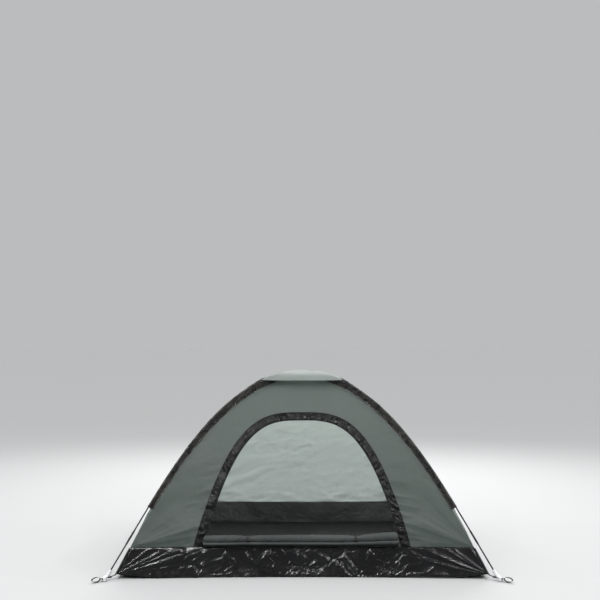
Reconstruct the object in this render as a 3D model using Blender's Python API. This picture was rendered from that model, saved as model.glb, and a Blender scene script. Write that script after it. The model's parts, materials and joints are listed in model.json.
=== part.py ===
"""Pitched two-person dome tent: two crossed poles in sleeves, a grey body, a black tub floor and a
rolled-down door. Metres, +Z up, the front door faces -Y, the origin is the floor's centre."""

import math

import bmesh
import bpy
import numpy as np

# Floor plan: the poles' feet and the body's ridges lie in the two vertical planes through its diagonals
FLOOR_WIDTH = 2.00
FLOOR_DEPTH = 1.50
FLOOR_DIAGONAL = math.hypot(FLOOR_WIDTH, FLOOR_DEPTH) / 2
SHARE_X = FLOOR_WIDTH / 2 / FLOOR_DIAGONAL
SHARE_Y = FLOOR_DEPTH / 2 / FLOOR_DIAGONAL
FOOT_REACH = 0.0665  # the pole's foot stands this far outside the floor's corner
CORNER_LIFT = 0.025  # the webbing pulls the floor's corners up off the ground
CORNER_LIFT_REACH = 0.30
CORNER_LIFT_POWER = 1.5

# Pole arc, half of it: leg angle, straightness of the leg, flatness of the crown, crown height
POLE_LEG_ANGLE = math.radians(54)
POLE_LEG_HANDLE = 0.62
POLE_CROWN_HANDLE = 0.62
POLE_CROWN_HEIGHT = 1.0925
POLE_RADIUS = 0.00395
POLE_SIDES = 8
CROSSING_DIP = 0.0088  # the lower pole passes this far under the upper one
CROSSING_DIP_REACH = 0.30

# Body ridge arc, half of it: the seam where two walls meet under a sleeve
RIDGE_ANGLE = math.radians(58.5)
RIDGE_LEG_HANDLE = 0.585
RIDGE_CROWN_HANDLE = 0.557
RIDGE_CROWN_HEIGHT = 1.0585

# Fabric, modelled thicker than the real cloth
WALL_THICKNESS = 0.0025
FLOOR_THICKNESS = 0.002
GAP = 0.0003  # between pieces that touch
SURFACE_GAP = 0.0007  # between pieces that lie on a curved wall
TUB_HEIGHT = 0.155
ROOF_RADIUS = 0.16  # along the diagonal, where the walls end and the mesh roof begins
WIDE_WALL_BOW = 0.045  # the slack cut of the front and rear walls at the floor, inwards
SIDE_WALL_BOW = 0.035
BOW_POWER = 0.8
HALF_COLUMNS = (0.22, 0.44, 0.64, 0.80, 0.92, 1.0)  # closer together where the corners lift

# Pole parts along the arc, from the foot
POLE_TIP = 0.033
FERRULE_START = 0.22
POLE_JOINT = 0.26
FERRULE_END = 0.30
FERRULE_BORE = 0.0044
FERRULE_RADIUS = 0.0053
SLEEVE_START = 0.447
SLEEVE_STOP = 0.10  # short of the crossing
SLEEVE_STATIONS = 19
SLEEVE_SIDES = 10

# Sleeve section: a tube round the pole and a doubled flange down to the ridge
SLEEVE_BORE = 0.0046
SLEEVE_RADIUS = 0.0057
SLEEVE_FLANGE_HALF = 0.0012
SLEEVE_ROOT_GAP = 0.0008

# Rain cap over the crossing
CAP_RADIUS = 0.30
CAP_LIFT = 0.0072
CAP_THICKNESS = 0.002
HOOK_LENGTH = 0.078
HOOK_INNER = 0.0064
HOOK_OUTER = 0.0082
STRAP_HALF_ANGLE = math.radians(45)
HOOK_HALF_ANGLE = math.radians(118)
HOOK_SPREAD = (0.5, 0.78)  # share of the strap's length over which it widens into the hook

# Door, in the flat pattern of the front wall: half widths and heights above the tub seam
ARCH_POWER = 3.1
TRIM_OUTER = (0.594, 0.790)
TRIM_INNER = (0.546, 0.741)
OPENING = (0.552, 0.747)
ZIP_OUTER = (0.5512, 0.7462)
ZIP_INNER = (0.540, 0.735)
TRIM_THICKNESS = 0.0018
ZIP_THICKNESS = 0.0014
TRIM_STATIONS = 49

# Zip sliders
SLIDER_UP = 0.105
SLIDER_LENGTH = 0.016
SLIDER_WIDTH = 0.0085
SLIDER_THICKNESS = 0.0062
PULL_LENGTH = 0.034
PULL_WIDTH = 0.0065
PULL_THICKNESS = 0.0022

# Rolled door, standing on the tub's front seam between the zips
ROLL_RISE = 0.012  # the door's lowest strip stands this high before the cloth is rolled
ROLL_RADIUS = 0.0262
ROLL_WAIST = 0.0205
ROLL_HALF_LENGTH = 0.521
TIE_OFFSET = 0.294
TIE_STATIONS = (-0.04, -0.02, -0.008, 0.008, 0.02, 0.04)
ROLL_SPREAD = 0.025  # how fast the roll swells again beside a tie
TIE_WIDTH = 0.012
TIE_THICKNESS = 0.0016
TOGGLE_RADIUS = 0.0045
TOGGLE_LENGTH = 0.026
TOGGLE_SINK = 0.0011  # into its tie

# Pole shoes: a round foot, a neck that leans with the pole, and a bore down from the mouth
CUP_BASE_RADIUS = 0.0135
CUP_ANKLE_RADIUS = 0.0125
CUP_ANKLE_HEIGHT = 0.021
CUP_NECK_RADIUS = 0.0095
CUP_NECK = 0.036
CUP_MOUTH_RADIUS = 0.0078
CUP_MOUTH = 0.066
CUP_BORE = 0.0044
SLOT_BOTTOM = 0.0140
SLOT_HEIGHT = 0.0030
SLOT_SIDE_ROOM = 0.0006
SLOT_CUTTER_REACH = 0.027  # each way from the middle of the shoe's foot

# Corner webbing: from the floor's cut corner through the shoe's slot to an oval pegging loop
CORNER_CUT = 0.012
CUTTER_SIZE = 0.048  # of the block that cuts a floor corner, along the diagonal
WEBBING_WIDTH = 0.015
WEBBING_THICKNESS = 0.0015
WEBBING_IN_SLOT = SLOT_BOTTOM + (SLOT_HEIGHT - WEBBING_THICKNESS) / 2
LOOP_CENTRE = 0.046  # outside the pole's foot
LOOP_HALF_LENGTH = 0.024
LOOP_HALF_HEIGHT = 0.013

CORNERS = {
    "front_left": (-1, -1),
    "front_right": (1, -1),
    "rear_left": (-1, 1),
    "rear_right": (1, 1),
}
UPPER_POLE_CORNERS = ("front_left", "rear_right")
UP = np.array([0.0, 0.0, 1.0])


def material(name, colour, roughness, metallic=0.0):
    """A Principled material of one colour, given as sRGB bytes."""
    made = bpy.data.materials.new(name)
    made.use_nodes = True
    shader = made.node_tree.nodes["Principled BSDF"]
    linear = [((c / 255 + 0.055) / 1.055) ** 2.4 for c in colour]
    shader.inputs["Base Color"].default_value = (*linear, 1)
    shader.inputs["Roughness"].default_value = roughness
    shader.inputs["Metallic"].default_value = metallic
    return made


def add_object(name, mesh, finish):
    """Links a mesh as the node of this name, with its faces pointing out."""
    shape = bmesh.new()
    shape.from_mesh(mesh)
    bmesh.ops.recalc_face_normals(shape, faces=shape.faces)
    shape.to_mesh(mesh)
    shape.free()
    mesh.materials.append(finish)
    mesh.shade_smooth()
    mesh.set_sharp_from_angle(angle=math.radians(35))
    made = bpy.data.objects.new(name, mesh)
    bpy.context.scene.collection.objects.link(made)
    return made


def mesh_of(name, points, faces):
    """A mesh from an array of points and a list of faces."""
    mesh = bpy.data.meshes.new(name)
    mesh.from_pydata([tuple(map(float, p)) for p in points], [], faces)
    return mesh


def grid_faces(rows, columns, first):
    """The cells of a grid of points, counted from the point number first."""
    return [
        (a, a + 1, a + columns + 1, a + columns)
        for a in (first + r * columns + c for r in range(rows - 1) for c in range(columns - 1))
    ]


def split_faces(rows, columns, first):
    """The cells of a grid over the tent's middle, each split along its own quadrant's diagonal,
    where the poles and ridges run."""
    faces = []
    for a, b, c, d in grid_faces(rows, columns, first):
        row, column = divmod(a - first, columns)
        if (row < rows // 2) == (column < columns // 2):
            faces += [(a, b, c), (a, c, d)]
        else:
            faces += [(a, b, d), (b, c, d)]
    return faces


def shell(name, outer, inner, finish, cells=grid_faces):
    """A closed sheet between two grids of points, rows x columns x 3."""
    rows, columns = outer.shape[:2]
    count = rows * columns
    rim = list(range(columns))
    rim += [r * columns + columns - 1 for r in range(1, rows)]
    rim += [(rows - 1) * columns + c for c in range(columns - 2, -1, -1)]
    rim += [r * columns for r in range(rows - 2, 0, -1)]
    faces = cells(rows, columns, 0) + [f[::-1] for f in cells(rows, columns, count)]
    for a, b in zip(rim, rim[1:] + rim[:1]):
        faces.append((b, a, a + count, b + count))
    points = np.concatenate([outer.reshape(-1, 3), inner.reshape(-1, 3)])
    return add_object(name, mesh_of(name, points, faces), finish)


def loft(name, rings, finish, closed_path=False):
    """Joins rings of equally many points into one body: capped at its ends, or closed on itself."""
    sides = len(rings[0])
    faces = []
    joins = len(rings) if closed_path else len(rings) - 1
    for i in range(joins):
        here, there = i * sides, (i + 1) % len(rings) * sides
        for k in range(sides):
            after = (k + 1) % sides
            faces.append((here + k, here + after, there + after, there + k))
    if not closed_path:
        faces.append(tuple(range(sides)))
        faces.append(tuple((len(rings) - 1) * sides + k for k in range(sides)))
    return add_object(name, mesh_of(name, np.concatenate(rings), faces), finish)


class Arc:
    """Half of a bow in a diagonal's plane, from the ground (distance 0) up to the crown, as points
    of radius from the tent's middle and height, found by distance along it."""

    def __init__(self, foot, angle, leg, crown_handle, crown, dip=0.0, samples=801):
        t = np.linspace(0, 1, samples)
        corners = np.array(
            [
                (foot, 0.0),
                (foot - leg * math.cos(angle), leg * math.sin(angle)),
                (crown_handle, crown),
                (0.0, crown),
            ]
        )
        weights = np.stack([(1 - t) ** 3, 3 * (1 - t) ** 2 * t, 3 * (1 - t) * t**2, t**3], 1)
        self.points = weights @ corners
        near = np.clip(self.points[:, 0] / CROSSING_DIP_REACH, 0, 1)
        self.points[:, 1] -= dip * np.cos(math.pi / 2 * near) ** 2
        steps = np.linalg.norm(np.diff(self.points, axis=0), axis=1)
        self.distances = np.concatenate([[0], np.cumsum(steps)])
        self.length = float(self.distances[-1])
        along = np.gradient(self.points, axis=0)
        along /= np.linalg.norm(along, axis=1)[:, None]
        self.outward = np.stack([along[:, 1], -along[:, 0]], 1)
        self.outward[-1] = (0, 1)

    def at(self, distance, lift=0.0):
        """(radius, height) at a distance along the arc, moved outwards square to it by lift."""
        distance = np.asarray(distance, float)
        place = [np.interp(distance, self.distances, self.points[:, i]) for i in (0, 1)]
        normal = [np.interp(distance, self.distances, self.outward[:, i]) for i in (0, 1)]
        return place[0] + lift * normal[0], place[1] + lift * normal[1]

    def normal(self, distance):
        """The direction square to the arc, outwards, as radius and height."""
        return np.array([np.interp(distance, self.distances, self.outward[:, i]) for i in (0, 1)])

    def distance_at_radius(self, radius):
        """The distance along the arc at which it has this radius."""
        return np.interp(-np.asarray(radius, float), -self.points[:, 0], self.distances)

    def distance_at_height(self, height):
        """The distance along the arc at which it has this height."""
        return np.interp(height, self.points[:, 1], self.distances)


FOOT_RADIUS = FLOOR_DIAGONAL + FOOT_REACH
POLE_SHAPE = (FOOT_RADIUS, POLE_LEG_ANGLE, POLE_LEG_HANDLE, POLE_CROWN_HANDLE, POLE_CROWN_HEIGHT)
UPPER_POLE = Arc(*POLE_SHAPE)
LOWER_POLE = Arc(*POLE_SHAPE, dip=CROSSING_DIP)
RIDGE = Arc(
    FLOOR_DIAGONAL + CORNER_LIFT / math.tan(RIDGE_ANGLE),
    RIDGE_ANGLE,
    RIDGE_LEG_HANDLE,
    RIDGE_CROWN_HANDLE,
    RIDGE_CROWN_HEIGHT,
)
SEAM = float(RIDGE.distance_at_height(TUB_HEIGHT))
ROOF_EDGE = float(RIDGE.distance_at_radius(ROOF_RADIUS))


def wall_stations():
    """The places across a wall, from -1 at one ridge to 1 at the other."""
    half = np.array(HALF_COLUMNS)
    return np.concatenate([-half[::-1], [0.0], half])


def corner_lift(across_x, across_y):
    """How high the floor is off the ground, from its place between the corners on each axis."""
    away = np.hypot(
        (1 - np.abs(across_x)) * FLOOR_WIDTH / 2, (1 - np.abs(across_y)) * FLOOR_DEPTH / 2
    )
    return CORNER_LIFT * np.clip(1 - away / CORNER_LIFT_REACH, 0, 1) ** CORNER_LIFT_POWER


def bow_share(distance):
    """How slack a wall is between its ridges: full at the floor, none at the roof."""
    return np.clip(1 - np.asarray(distance, float) / ROOF_EDGE, 0, 1) ** BOW_POWER


def wall_point(side, across, distance, lift=0.0):
    """A point of a wall's outer face, or lifted from it. Side is front, rear, left or right, across
    runs from -1 to 1 between its ridges, and distance is measured up the ridge from the floor."""
    radius, height = RIDGE.at(distance, lift)
    facing = -1 if side in ("front", "left") else 1
    if side in ("front", "rear"):
        x = across * (SHARE_X * radius - GAP)
        y = facing * (SHARE_Y * radius - WIDE_WALL_BOW * bow_share(distance) * (1 - across**2))
    else:
        x = facing * (SHARE_X * radius - SIDE_WALL_BOW * bow_share(distance) * (1 - across**2))
        y = across * (SHARE_Y * radius - GAP)
    return np.stack(np.broadcast_arrays(x, y, height), -1)


def front_profile(samples=400):
    """The front wall's middle line: distance up the ridge against length up the cloth."""
    distance = np.linspace(SEAM, ROOF_EDGE, samples)
    line = wall_point("front", np.zeros(samples), distance)
    steps = np.linalg.norm(np.diff(line, axis=0), axis=1)
    return distance, np.concatenate([[0], np.cumsum(steps)])


PROFILE_DISTANCE, PROFILE_LENGTH = front_profile()


def front_point(x, up, lift=0.0):
    """A point of the front wall from its flat pattern: x across, and up the cloth from the seam."""
    distance = np.interp(up, PROFILE_LENGTH, PROFILE_DISTANCE)
    radius, height = RIDGE.at(distance)
    across = x / (SHARE_X * radius)
    bow = WIDE_WALL_BOW * bow_share(distance) * (1 - across**2)
    slope = RIDGE.normal(distance)
    normal = np.stack([np.zeros_like(slope[0]), -slope[0], SHARE_Y * slope[1]], -1)
    normal /= np.linalg.norm(normal, axis=-1, keepdims=True)
    return np.stack([x, -SHARE_Y * radius + bow, height], -1) + lift * normal


def arch(half_width, height, stations):
    """The door's outline in the flat pattern, from its left foot over to its right foot."""
    x = half_width * np.sin(np.linspace(-math.pi / 2, math.pi / 2, 600))
    up = height * (1 - np.abs(x / half_width) ** ARCH_POWER)
    length = np.concatenate([[0], np.cumsum(np.hypot(np.diff(x), np.diff(up)))])
    even = np.linspace(0, length[-1], stations)
    return np.interp(even, length, x), np.interp(even, length, up)


def make_wall(side, finish, rows=15):
    """A wall from the tub's seam up to the mesh roof."""
    distance = np.linspace(SEAM + GAP / 2, ROOF_EDGE - GAP / 2, rows)[:, None]
    across = wall_stations()[None]
    outer = wall_point(side, across, distance)
    inner = wall_point(side, across, distance, -WALL_THICKNESS)
    return shell(f"{side}_wall", outer, inner, finish)


def make_tub_side(side, finish, rows=3):
    """The tub's side, standing on the floor sheet and rising with it to the corners."""
    across = wall_stations()
    wide = side in ("front", "rear")
    lift = corner_lift(across, 1.0) if wide else corner_lift(1.0, across)
    foot = RIDGE.distance_at_height(FLOOR_THICKNESS + GAP + lift)
    distance = np.linspace(foot, SEAM - GAP / 2, rows)
    outer = wall_point(side, across[None], distance)
    inner = wall_point(side, across[None], distance, -WALL_THICKNESS)
    inner[0, :, 2] = outer[0, :, 2]
    return shell(f"tub_{side}", outer, inner, finish)


def make_floor(finish):
    """The floor sheet, with slack-cut edges and lifted corners that are cut square to the
    diagonals."""
    across_x, across_y = np.meshgrid(wall_stations(), wall_stations())
    lift = corner_lift(across_x, across_y)
    distance = RIDGE.distance_at_height(lift)
    radius, slack = RIDGE.at(distance)[0], bow_share(distance)
    x = across_x * (SHARE_X * radius - SIDE_WALL_BOW * slack * (1 - across_y**2))
    y = across_y * (SHARE_Y * radius - WIDE_WALL_BOW * slack * (1 - across_x**2))
    sheet = [np.stack([x, y, lift + height], -1) for height in (FLOOR_THICKNESS, 0.0)]
    floor = shell("floor_sheet", *sheet, finish)
    for corner in CORNERS:
        out, across = diagonal_frame(corner)
        start = out * (FLOOR_DIAGONAL - CORNER_CUT) - across * CUTTER_SIZE - UP * CORNER_CUT
        size = (out * CUTTER_SIZE, across * 2 * CUTTER_SIZE, UP * (CORNER_CUT + CUTTER_SIZE))
        combine(floor, box_mesh(f"corner_cutter_{corner}", start, *size, finish), "DIFFERENCE")
    return floor


def dome_grid(radius, arc_point, steps):
    """Points over a rectangle whose corners lie on the diagonals: arc_point gives radius and height."""
    line = np.linspace(-1, 1, 2 * steps + 1)
    x, y = np.meshgrid(line, line)
    ring = np.maximum(np.abs(x), np.abs(y))
    out, height = arc_point(ring * radius)
    scale = out / np.where(ring == 0, 1, ring)
    return np.stack([SHARE_X * x * scale, SHARE_Y * y * scale, height], -1)


def make_roof_vent(finish, steps=5):
    """The mesh vent that closes the body under the rain cap."""
    edge = float(RIDGE.at(ROOF_EDGE + GAP / 2)[0])

    def sheet(lift):
        return dome_grid(edge, lambda r: RIDGE.at(RIDGE.distance_at_radius(r), lift), steps)

    return shell("roof_vent", sheet(0.0), sheet(-WALL_THICKNESS), finish, split_faces)


def make_rain_cap(finish, steps=7):
    """The rain cap, lying on the crossed poles."""

    def sheet(lift):
        def point(radius):
            return UPPER_POLE.at(UPPER_POLE.distance_at_radius(radius), lift)

        return dome_grid(CAP_RADIUS, point, steps)

    return shell("rain_cap", sheet(CAP_LIFT + CAP_THICKNESS), sheet(CAP_LIFT), finish, split_faces)


def diagonal_frame(corner):
    """(direction out to this corner, direction across it) of a diagonal's plane."""
    sx, sy = CORNERS[corner]
    out = np.array([SHARE_X * sx, SHARE_Y * sy, 0.0])
    return out, np.array([-out[1], out[0], 0.0])


def pole_of(corner):
    """The pole whose foot stands at this corner."""
    return UPPER_POLE if corner in UPPER_POLE_CORNERS else LOWER_POLE


def pole_place(corner, distance):
    """(centre, outward, across) of the pole at a distance from this corner's foot."""
    out, across = diagonal_frame(corner)
    arc = pole_of(corner)
    radius, height = arc.at(distance)
    normal = arc.normal(distance)
    return out * radius + UP * height, out * normal[0] + UP * normal[1], across


def circle(place, radius, sides):
    """A ring of points round a pole's axis, the first one on its outer side."""
    centre, outward, across = place
    turn = np.linspace(0, 2 * math.pi, sides, endpoint=False)[:, None]
    return centre + radius * (np.cos(turn) * outward + np.sin(turn) * across)


def sleeve_distances():
    """The places along a pole where its sleeve's rings are."""
    return np.linspace(SLEEVE_START, UPPER_POLE.length - SLEEVE_STOP, SLEEVE_STATIONS)


def make_leg(corner, finish):
    """The pole's bare end section, from inside its cup to the joint in the ferrule."""
    bare = np.linspace(POLE_TIP, FERRULE_START, 4)
    stations = (*bare, POLE_JOINT - GAP / 2)
    rings = [circle(pole_place(corner, s), POLE_RADIUS, POLE_SIDES) for s in stations]
    return loft(f"pole_leg_{corner}", rings, finish)


def make_ferrule(corner, finish):
    """The tube over the joint between the pole's end section and the next one."""
    stations = (FERRULE_START, POLE_JOINT, FERRULE_END)
    places = [pole_place(corner, s) for s in stations]
    outer = [circle(p, FERRULE_RADIUS, POLE_SIDES) for p in places]
    inner = [circle(p, FERRULE_BORE / math.cos(math.pi / POLE_SIDES), POLE_SIDES) for p in places]
    return loft(f"ferrule_{corner}", outer + inner[::-1], finish, closed_path=True)


def make_pole_run(name, front, rear, finish):
    """The joined sections inside the sleeves, from one end section over the crown to the other."""
    bare = (POLE_JOINT + GAP / 2, FERRULE_END, (FERRULE_END + SLEEVE_START) / 2)
    crown = UPPER_POLE.length
    stations = (*bare, *sleeve_distances(), crown - SLEEVE_STOP / 2)
    rise = [circle(pole_place(front, s), POLE_RADIUS, POLE_SIDES) for s in (*stations, crown)]
    flip = [0, *range(POLE_SIDES - 1, 0, -1)]
    fall = [circle(pole_place(rear, s), POLE_RADIUS, POLE_SIDES)[flip] for s in stations]
    return loft(name, rise + fall[::-1], finish)


def make_sleeve(corner, finish):
    """A sleeve: a tube round the pole with a flange that runs down to the walls' ridge seam."""
    outer, inner = [], []
    for distance in sleeve_distances():
        place = pole_place(corner, distance)
        centre, outward, across = place
        radius, height = pole_of(corner).at(distance)
        reach = np.hypot(RIDGE.points[:, 0] - radius, RIDGE.points[:, 1] - height).min()
        root = centre - outward * (reach - SLEEVE_ROOT_GAP)
        ring = circle(place, SLEEVE_RADIUS, SLEEVE_SIDES)
        for step in (-1, 0, 1):
            ring[SLEEVE_SIDES // 2 + step] = root - across * SLEEVE_FLANGE_HALF * step
        outer.append(ring)
        inner.append(circle(place, SLEEVE_BORE, SLEEVE_SIDES))
    return loft(f"sleeve_{corner}", outer + inner[::-1], finish, closed_path=True)


def make_hook(corner, finish, points=7):
    """The rain cap's corner strap, whose hook clips round the outer side of the sleeve."""
    arc = pole_of(corner)
    start = float(arc.distance_at_radius(CAP_RADIUS)) - GAP * 2
    rings = []
    for share in (0, 0.25, *np.linspace(HOOK_SPREAD[0], HOOK_SPREAD[1], 6), 1):
        grip = np.interp(share, HOOK_SPREAD, (0, 1))
        half = STRAP_HALF_ANGLE + (HOOK_HALF_ANGLE - STRAP_HALF_ANGLE) * grip
        centre, outward, across = pole_place(corner, start - HOOK_LENGTH * share)
        turn = np.linspace(-half, half, points)[:, None]
        band = np.cos(turn) * outward + np.sin(turn) * across
        rings.append(np.concatenate([centre + HOOK_OUTER * band, centre + HOOK_INNER * band[::-1]]))
    return loft(f"cap_hook_{corner}", rings, finish)


def band_on_front(name, outer, inner, lift, thickness, finish):
    """A strip of even thickness along the door's arch, on the front wall."""
    edges = [arch(*outer, TRIM_STATIONS), arch(*inner, TRIM_STATIONS)]
    top = np.stack([front_point(x, up, lift + thickness) for x, up in edges], 1)
    under = np.stack([front_point(x, up, lift) for x, up in edges], 1)
    return shell(name, top, under, finish)


def cut_doorway(wall):
    """Cuts the arched doorway through the front wall, open down to the tub's seam."""
    edge = front_point(*arch(*OPENING, TRIM_STATIONS))
    outline = np.concatenate([edge[:1], edge, edge[-1:]])
    outline[[0, -1], 2] -= TUB_HEIGHT / 2
    rings = [outline * (1, 0, 1) - (0, y, 0) for y in (FLOOR_DEPTH, ROOF_RADIUS / 2)]
    combine(wall, loft("doorway_cutter", rings, wall.data.materials[0]), "DIFFERENCE")


def make_slider(name, side, finish):
    """A zip slider parked at a lower end of the zip, with its pull hanging outside."""
    up = SLIDER_UP + np.array([-0.5, 0.5]) * SLIDER_LENGTH
    edge = ZIP_INNER[0] * (1 - up / ZIP_INNER[1]) ** (1 / ARCH_POWER) - 2 * GAP
    section = ((0, -0.5), (0, 0.5), (SLIDER_WIDTH, 0.5), (SLIDER_WIDTH, -0.5))
    middle = -GAP - ZIP_THICKNESS / 2
    rings = []
    for reach, height in zip(edge, up):
        lifts = [middle + lift * SLIDER_THICKNESS for _, lift in section]
        places = [side * (reach - inset) for inset, _ in section]
        rings.append(np.array([front_point(x, height, z) for x, z in zip(places, lifts)]))
    body = loft(name, rings, finish)
    top = front_point(side * (edge[1] - SLIDER_WIDTH / 2), SLIDER_UP, middle + SLIDER_THICKNESS / 3)
    wide = np.array([PULL_WIDTH, 0.0, 0.0])
    thick = np.array([0.0, -PULL_THICKNESS, 0.0])
    combine(body, box_mesh(f"{name}_pull", top - wide / 2, wide, thick, -PULL_LENGTH * UP, finish))
    return body


def roll_centre(x):
    """The middle of the rolled door's section at x, over the tub's front seam."""
    seam = wall_point("front", x / (SHARE_X * RIDGE.at(SEAM)[0]), SEAM, -WALL_THICKNESS / 2)
    seam[..., 2] = TUB_HEIGHT + GAP + ROLL_RISE + ROLL_RADIUS
    return seam


def roll_ring(x, radius, sides):
    """A ring of points round the rolled door at x."""
    turn = np.linspace(0, 2 * math.pi, sides, endpoint=False)[:, None]
    offset = np.concatenate([np.zeros_like(turn), np.cos(turn), np.sin(turn)], 1)
    return roll_centre(np.array(x)) + radius * offset


def make_roll(finish, stations=19, sides=12):
    """The door rolled down onto its lowest strip, which stands on the seam, and drawn in at its two
    ties."""
    near_ties = [side * TIE_OFFSET + step for side in (-1, 1) for step in TIE_STATIONS]
    places = np.concatenate([np.linspace(-ROLL_HALF_LENGTH, ROLL_HALF_LENGTH, stations), near_ties])
    rings = []
    for x in np.sort(places):
        away = max(0.0, abs(abs(x) - TIE_OFFSET) - TIE_STATIONS[-3])
        squeeze = math.exp(-((away / ROLL_SPREAD) ** 2))
        radius = ROLL_RADIUS - (ROLL_RADIUS - ROLL_WAIST + 2 * GAP) * squeeze
        ring = roll_ring(x, radius, sides)
        lowest = ring[:, 2].argmin()
        ring[lowest, 2] -= ROLL_RISE * (1 - squeeze)
        rings.append(ring)
    return loft("rolled_door", rings, finish)


def make_tie(name, x, finish, sides=12):
    """A tie round the rolled door, with the toggle that closes it lying across its front."""
    ends = (x - TIE_WIDTH / 2, x + TIE_WIDTH / 2)
    outer = [roll_ring(end, ROLL_WAIST + TIE_THICKNESS, sides) for end in ends]
    inner = [roll_ring(end, ROLL_WAIST, sides) for end in ends]
    tie = loft(name, outer + inner[::-1], finish, closed_path=True)
    out = ROLL_WAIST + TIE_THICKNESS + TOGGLE_RADIUS - TOGGLE_SINK
    turn = np.linspace(0, 2 * math.pi, 8, endpoint=False)
    offset = TOGGLE_RADIUS * np.stack([np.zeros(8), np.cos(turn), np.sin(turn)], 1)
    middle = roll_centre(np.array(x)) - (0, out, 0) + offset
    bar = [middle + (end, 0, 0) for end in (-TOGGLE_LENGTH / 2, TOGGLE_LENGTH / 2)]
    combine(tie, loft(f"{name}_toggle", bar, finish))
    return tie


def combine(base, helper, operation="UNION"):
    """Joins a helper shape to base as one body, or cuts it out of base, and hides the helper."""
    helper.hide_render = True
    helper.display_type = "WIRE"
    modifier = base.modifiers.new(helper.name, "BOOLEAN")
    modifier.operation = operation
    modifier.object = helper


def box_mesh(name, corner, along, across, up, finish):
    """A box from one corner's point and its three edges."""
    base = np.array([corner, corner + along, corner + along + across, corner + across])
    return loft(name, [base, base + up], finish)


def make_cup(corner, finish, sides=12):
    """The moulded shoe on the pole's foot: a socket for the pole, slotted for the webbing."""
    out, across = diagonal_frame(corner)
    foot = (out * FOOT_RADIUS, out, across)
    rings = [
        circle(foot, CUP_BASE_RADIUS, sides),
        circle(foot, CUP_ANKLE_RADIUS, sides) + UP * CUP_ANKLE_HEIGHT,
        circle(pole_place(corner, CUP_NECK), CUP_NECK_RADIUS, sides),
        circle(pole_place(corner, CUP_MOUTH), CUP_MOUTH_RADIUS, sides),
        circle(pole_place(corner, CUP_MOUTH), CUP_BORE, sides),
        circle(pole_place(corner, POLE_TIP - GAP), CUP_BORE, sides),
    ]
    cup = loft(f"pole_cup_{corner}", rings, finish)
    half = across * (WEBBING_WIDTH / 2 + SLOT_SIDE_ROOM)
    start = out * (FOOT_RADIUS - SLOT_CUTTER_REACH) - half + UP * SLOT_BOTTOM
    size = (out * 2 * SLOT_CUTTER_REACH, 2 * half, UP * SLOT_HEIGHT)
    combine(cup, box_mesh(f"slot_cutter_{corner}", start, *size, finish), "DIFFERENCE")
    return cup


def make_webbing(corner, finish, sides=16):
    """The corner webbing: from the floor's corner through the shoe's slot to its pegging loop."""
    out, across = diagonal_frame(corner)
    half = across * WEBBING_WIDTH / 2
    loop_height = WEBBING_IN_SLOT + WEBBING_THICKNESS / 2
    middle = out * (FOOT_RADIUS + LOOP_CENTRE) + UP * loop_height
    turn = np.linspace(0, 2 * math.pi, sides, endpoint=False)[:, None]

    def oval(inset):
        flat = (LOOP_HALF_LENGTH - inset) * np.cos(turn) * out
        return middle + flat + (LOOP_HALF_HEIGHT - inset) * np.sin(turn) * UP

    outer, inner = oval(0.0), oval(WEBBING_THICKNESS)
    rings = [outer - half, outer + half, inner + half, inner - half]
    loop = loft(f"webbing_{corner}", rings, finish, closed_path=True)
    cut = FLOOR_DIAGONAL - CORNER_CUT
    floor_height = float(corner_lift(cut / FLOOR_DIAGONAL, cut / FLOOR_DIAGONAL)) + GAP
    shoe = CUP_BASE_RADIUS + GAP
    route = [
        (cut + GAP, floor_height),
        (FOOT_RADIUS - shoe, WEBBING_IN_SLOT),
        (FOOT_RADIUS + LOOP_CENTRE - LOOP_HALF_LENGTH + WEBBING_THICKNESS / 2, WEBBING_IN_SLOT),
    ]
    tape = []
    for radius, height in route:
        low = out * radius + UP * height
        top = low + UP * WEBBING_THICKNESS
        tape.append(np.array([low - half, low + half, top + half, top - half]))
    combine(loop, loft(f"webbing_tape_{corner}", tape, finish))
    return loop


def clear_scene():
    """Removes whatever the file holds."""
    for old in list(bpy.data.objects):
        bpy.data.objects.remove(old, do_unlink=True)


def main():
    """Makes the materials and every part of the tent."""
    clear_scene()
    grey = material("grey_polyester", (106, 114, 111), 0.6)
    pale = material("pale_coated_polyester", (163, 169, 166), 0.5)
    black = material("black_polyester", (42, 40, 41), 0.6)
    film = material("black_pe_film", (30, 29, 31), 0.25)
    mesh = material("black_mesh", (24, 24, 25), 0.8)
    glass_fibre = material("black_glass_fibre", (22, 22, 23), 0.35)
    moulding = material("pale_moulding", (214, 213, 216), 0.45)
    webbing = material("black_webbing", (25, 25, 26), 0.7)

    make_floor(film)
    for side in ("front", "rear", "left", "right"):
        make_tub_side(side, film)
        if side == "front":
            cut_doorway(make_wall(side, grey, rows=18))
        else:
            make_wall(side, grey)
    make_roof_vent(mesh)
    make_rain_cap(pale)
    for corner in CORNERS:
        make_cup(corner, moulding)
        make_webbing(corner, webbing)
        make_leg(corner, glass_fibre)
        make_ferrule(corner, glass_fibre)
        make_sleeve(corner, black)
        make_hook(corner, webbing)
    make_pole_run("pole_run_upper", "front_left", "rear_right", glass_fibre)
    make_pole_run("pole_run_lower", "front_right", "rear_left", glass_fibre)
    band_on_front("door_trim", TRIM_OUTER, TRIM_INNER, SURFACE_GAP, TRIM_THICKNESS, black)
    band_on_front("door_zip", ZIP_OUTER, ZIP_INNER, -ZIP_THICKNESS - GAP, ZIP_THICKNESS, black)
    make_slider("zip_slider_left", -1, black)
    make_slider("zip_slider_right", 1, black)
    make_roll(grey)
    make_tie("door_tie_left", -TIE_OFFSET, webbing)
    make_tie("door_tie_right", TIE_OFFSET, webbing)


main()
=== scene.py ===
"""Looks of a pitched two-person dome tent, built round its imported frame.

Metres, +Z up. The front door faces -Y and the origin is the middle of the floor.
"""

import json
import logging
import math
from dataclasses import dataclass, field, replace
from enum import Enum
from functools import cached_property
from typing import Callable, Optional, Sequence

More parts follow.
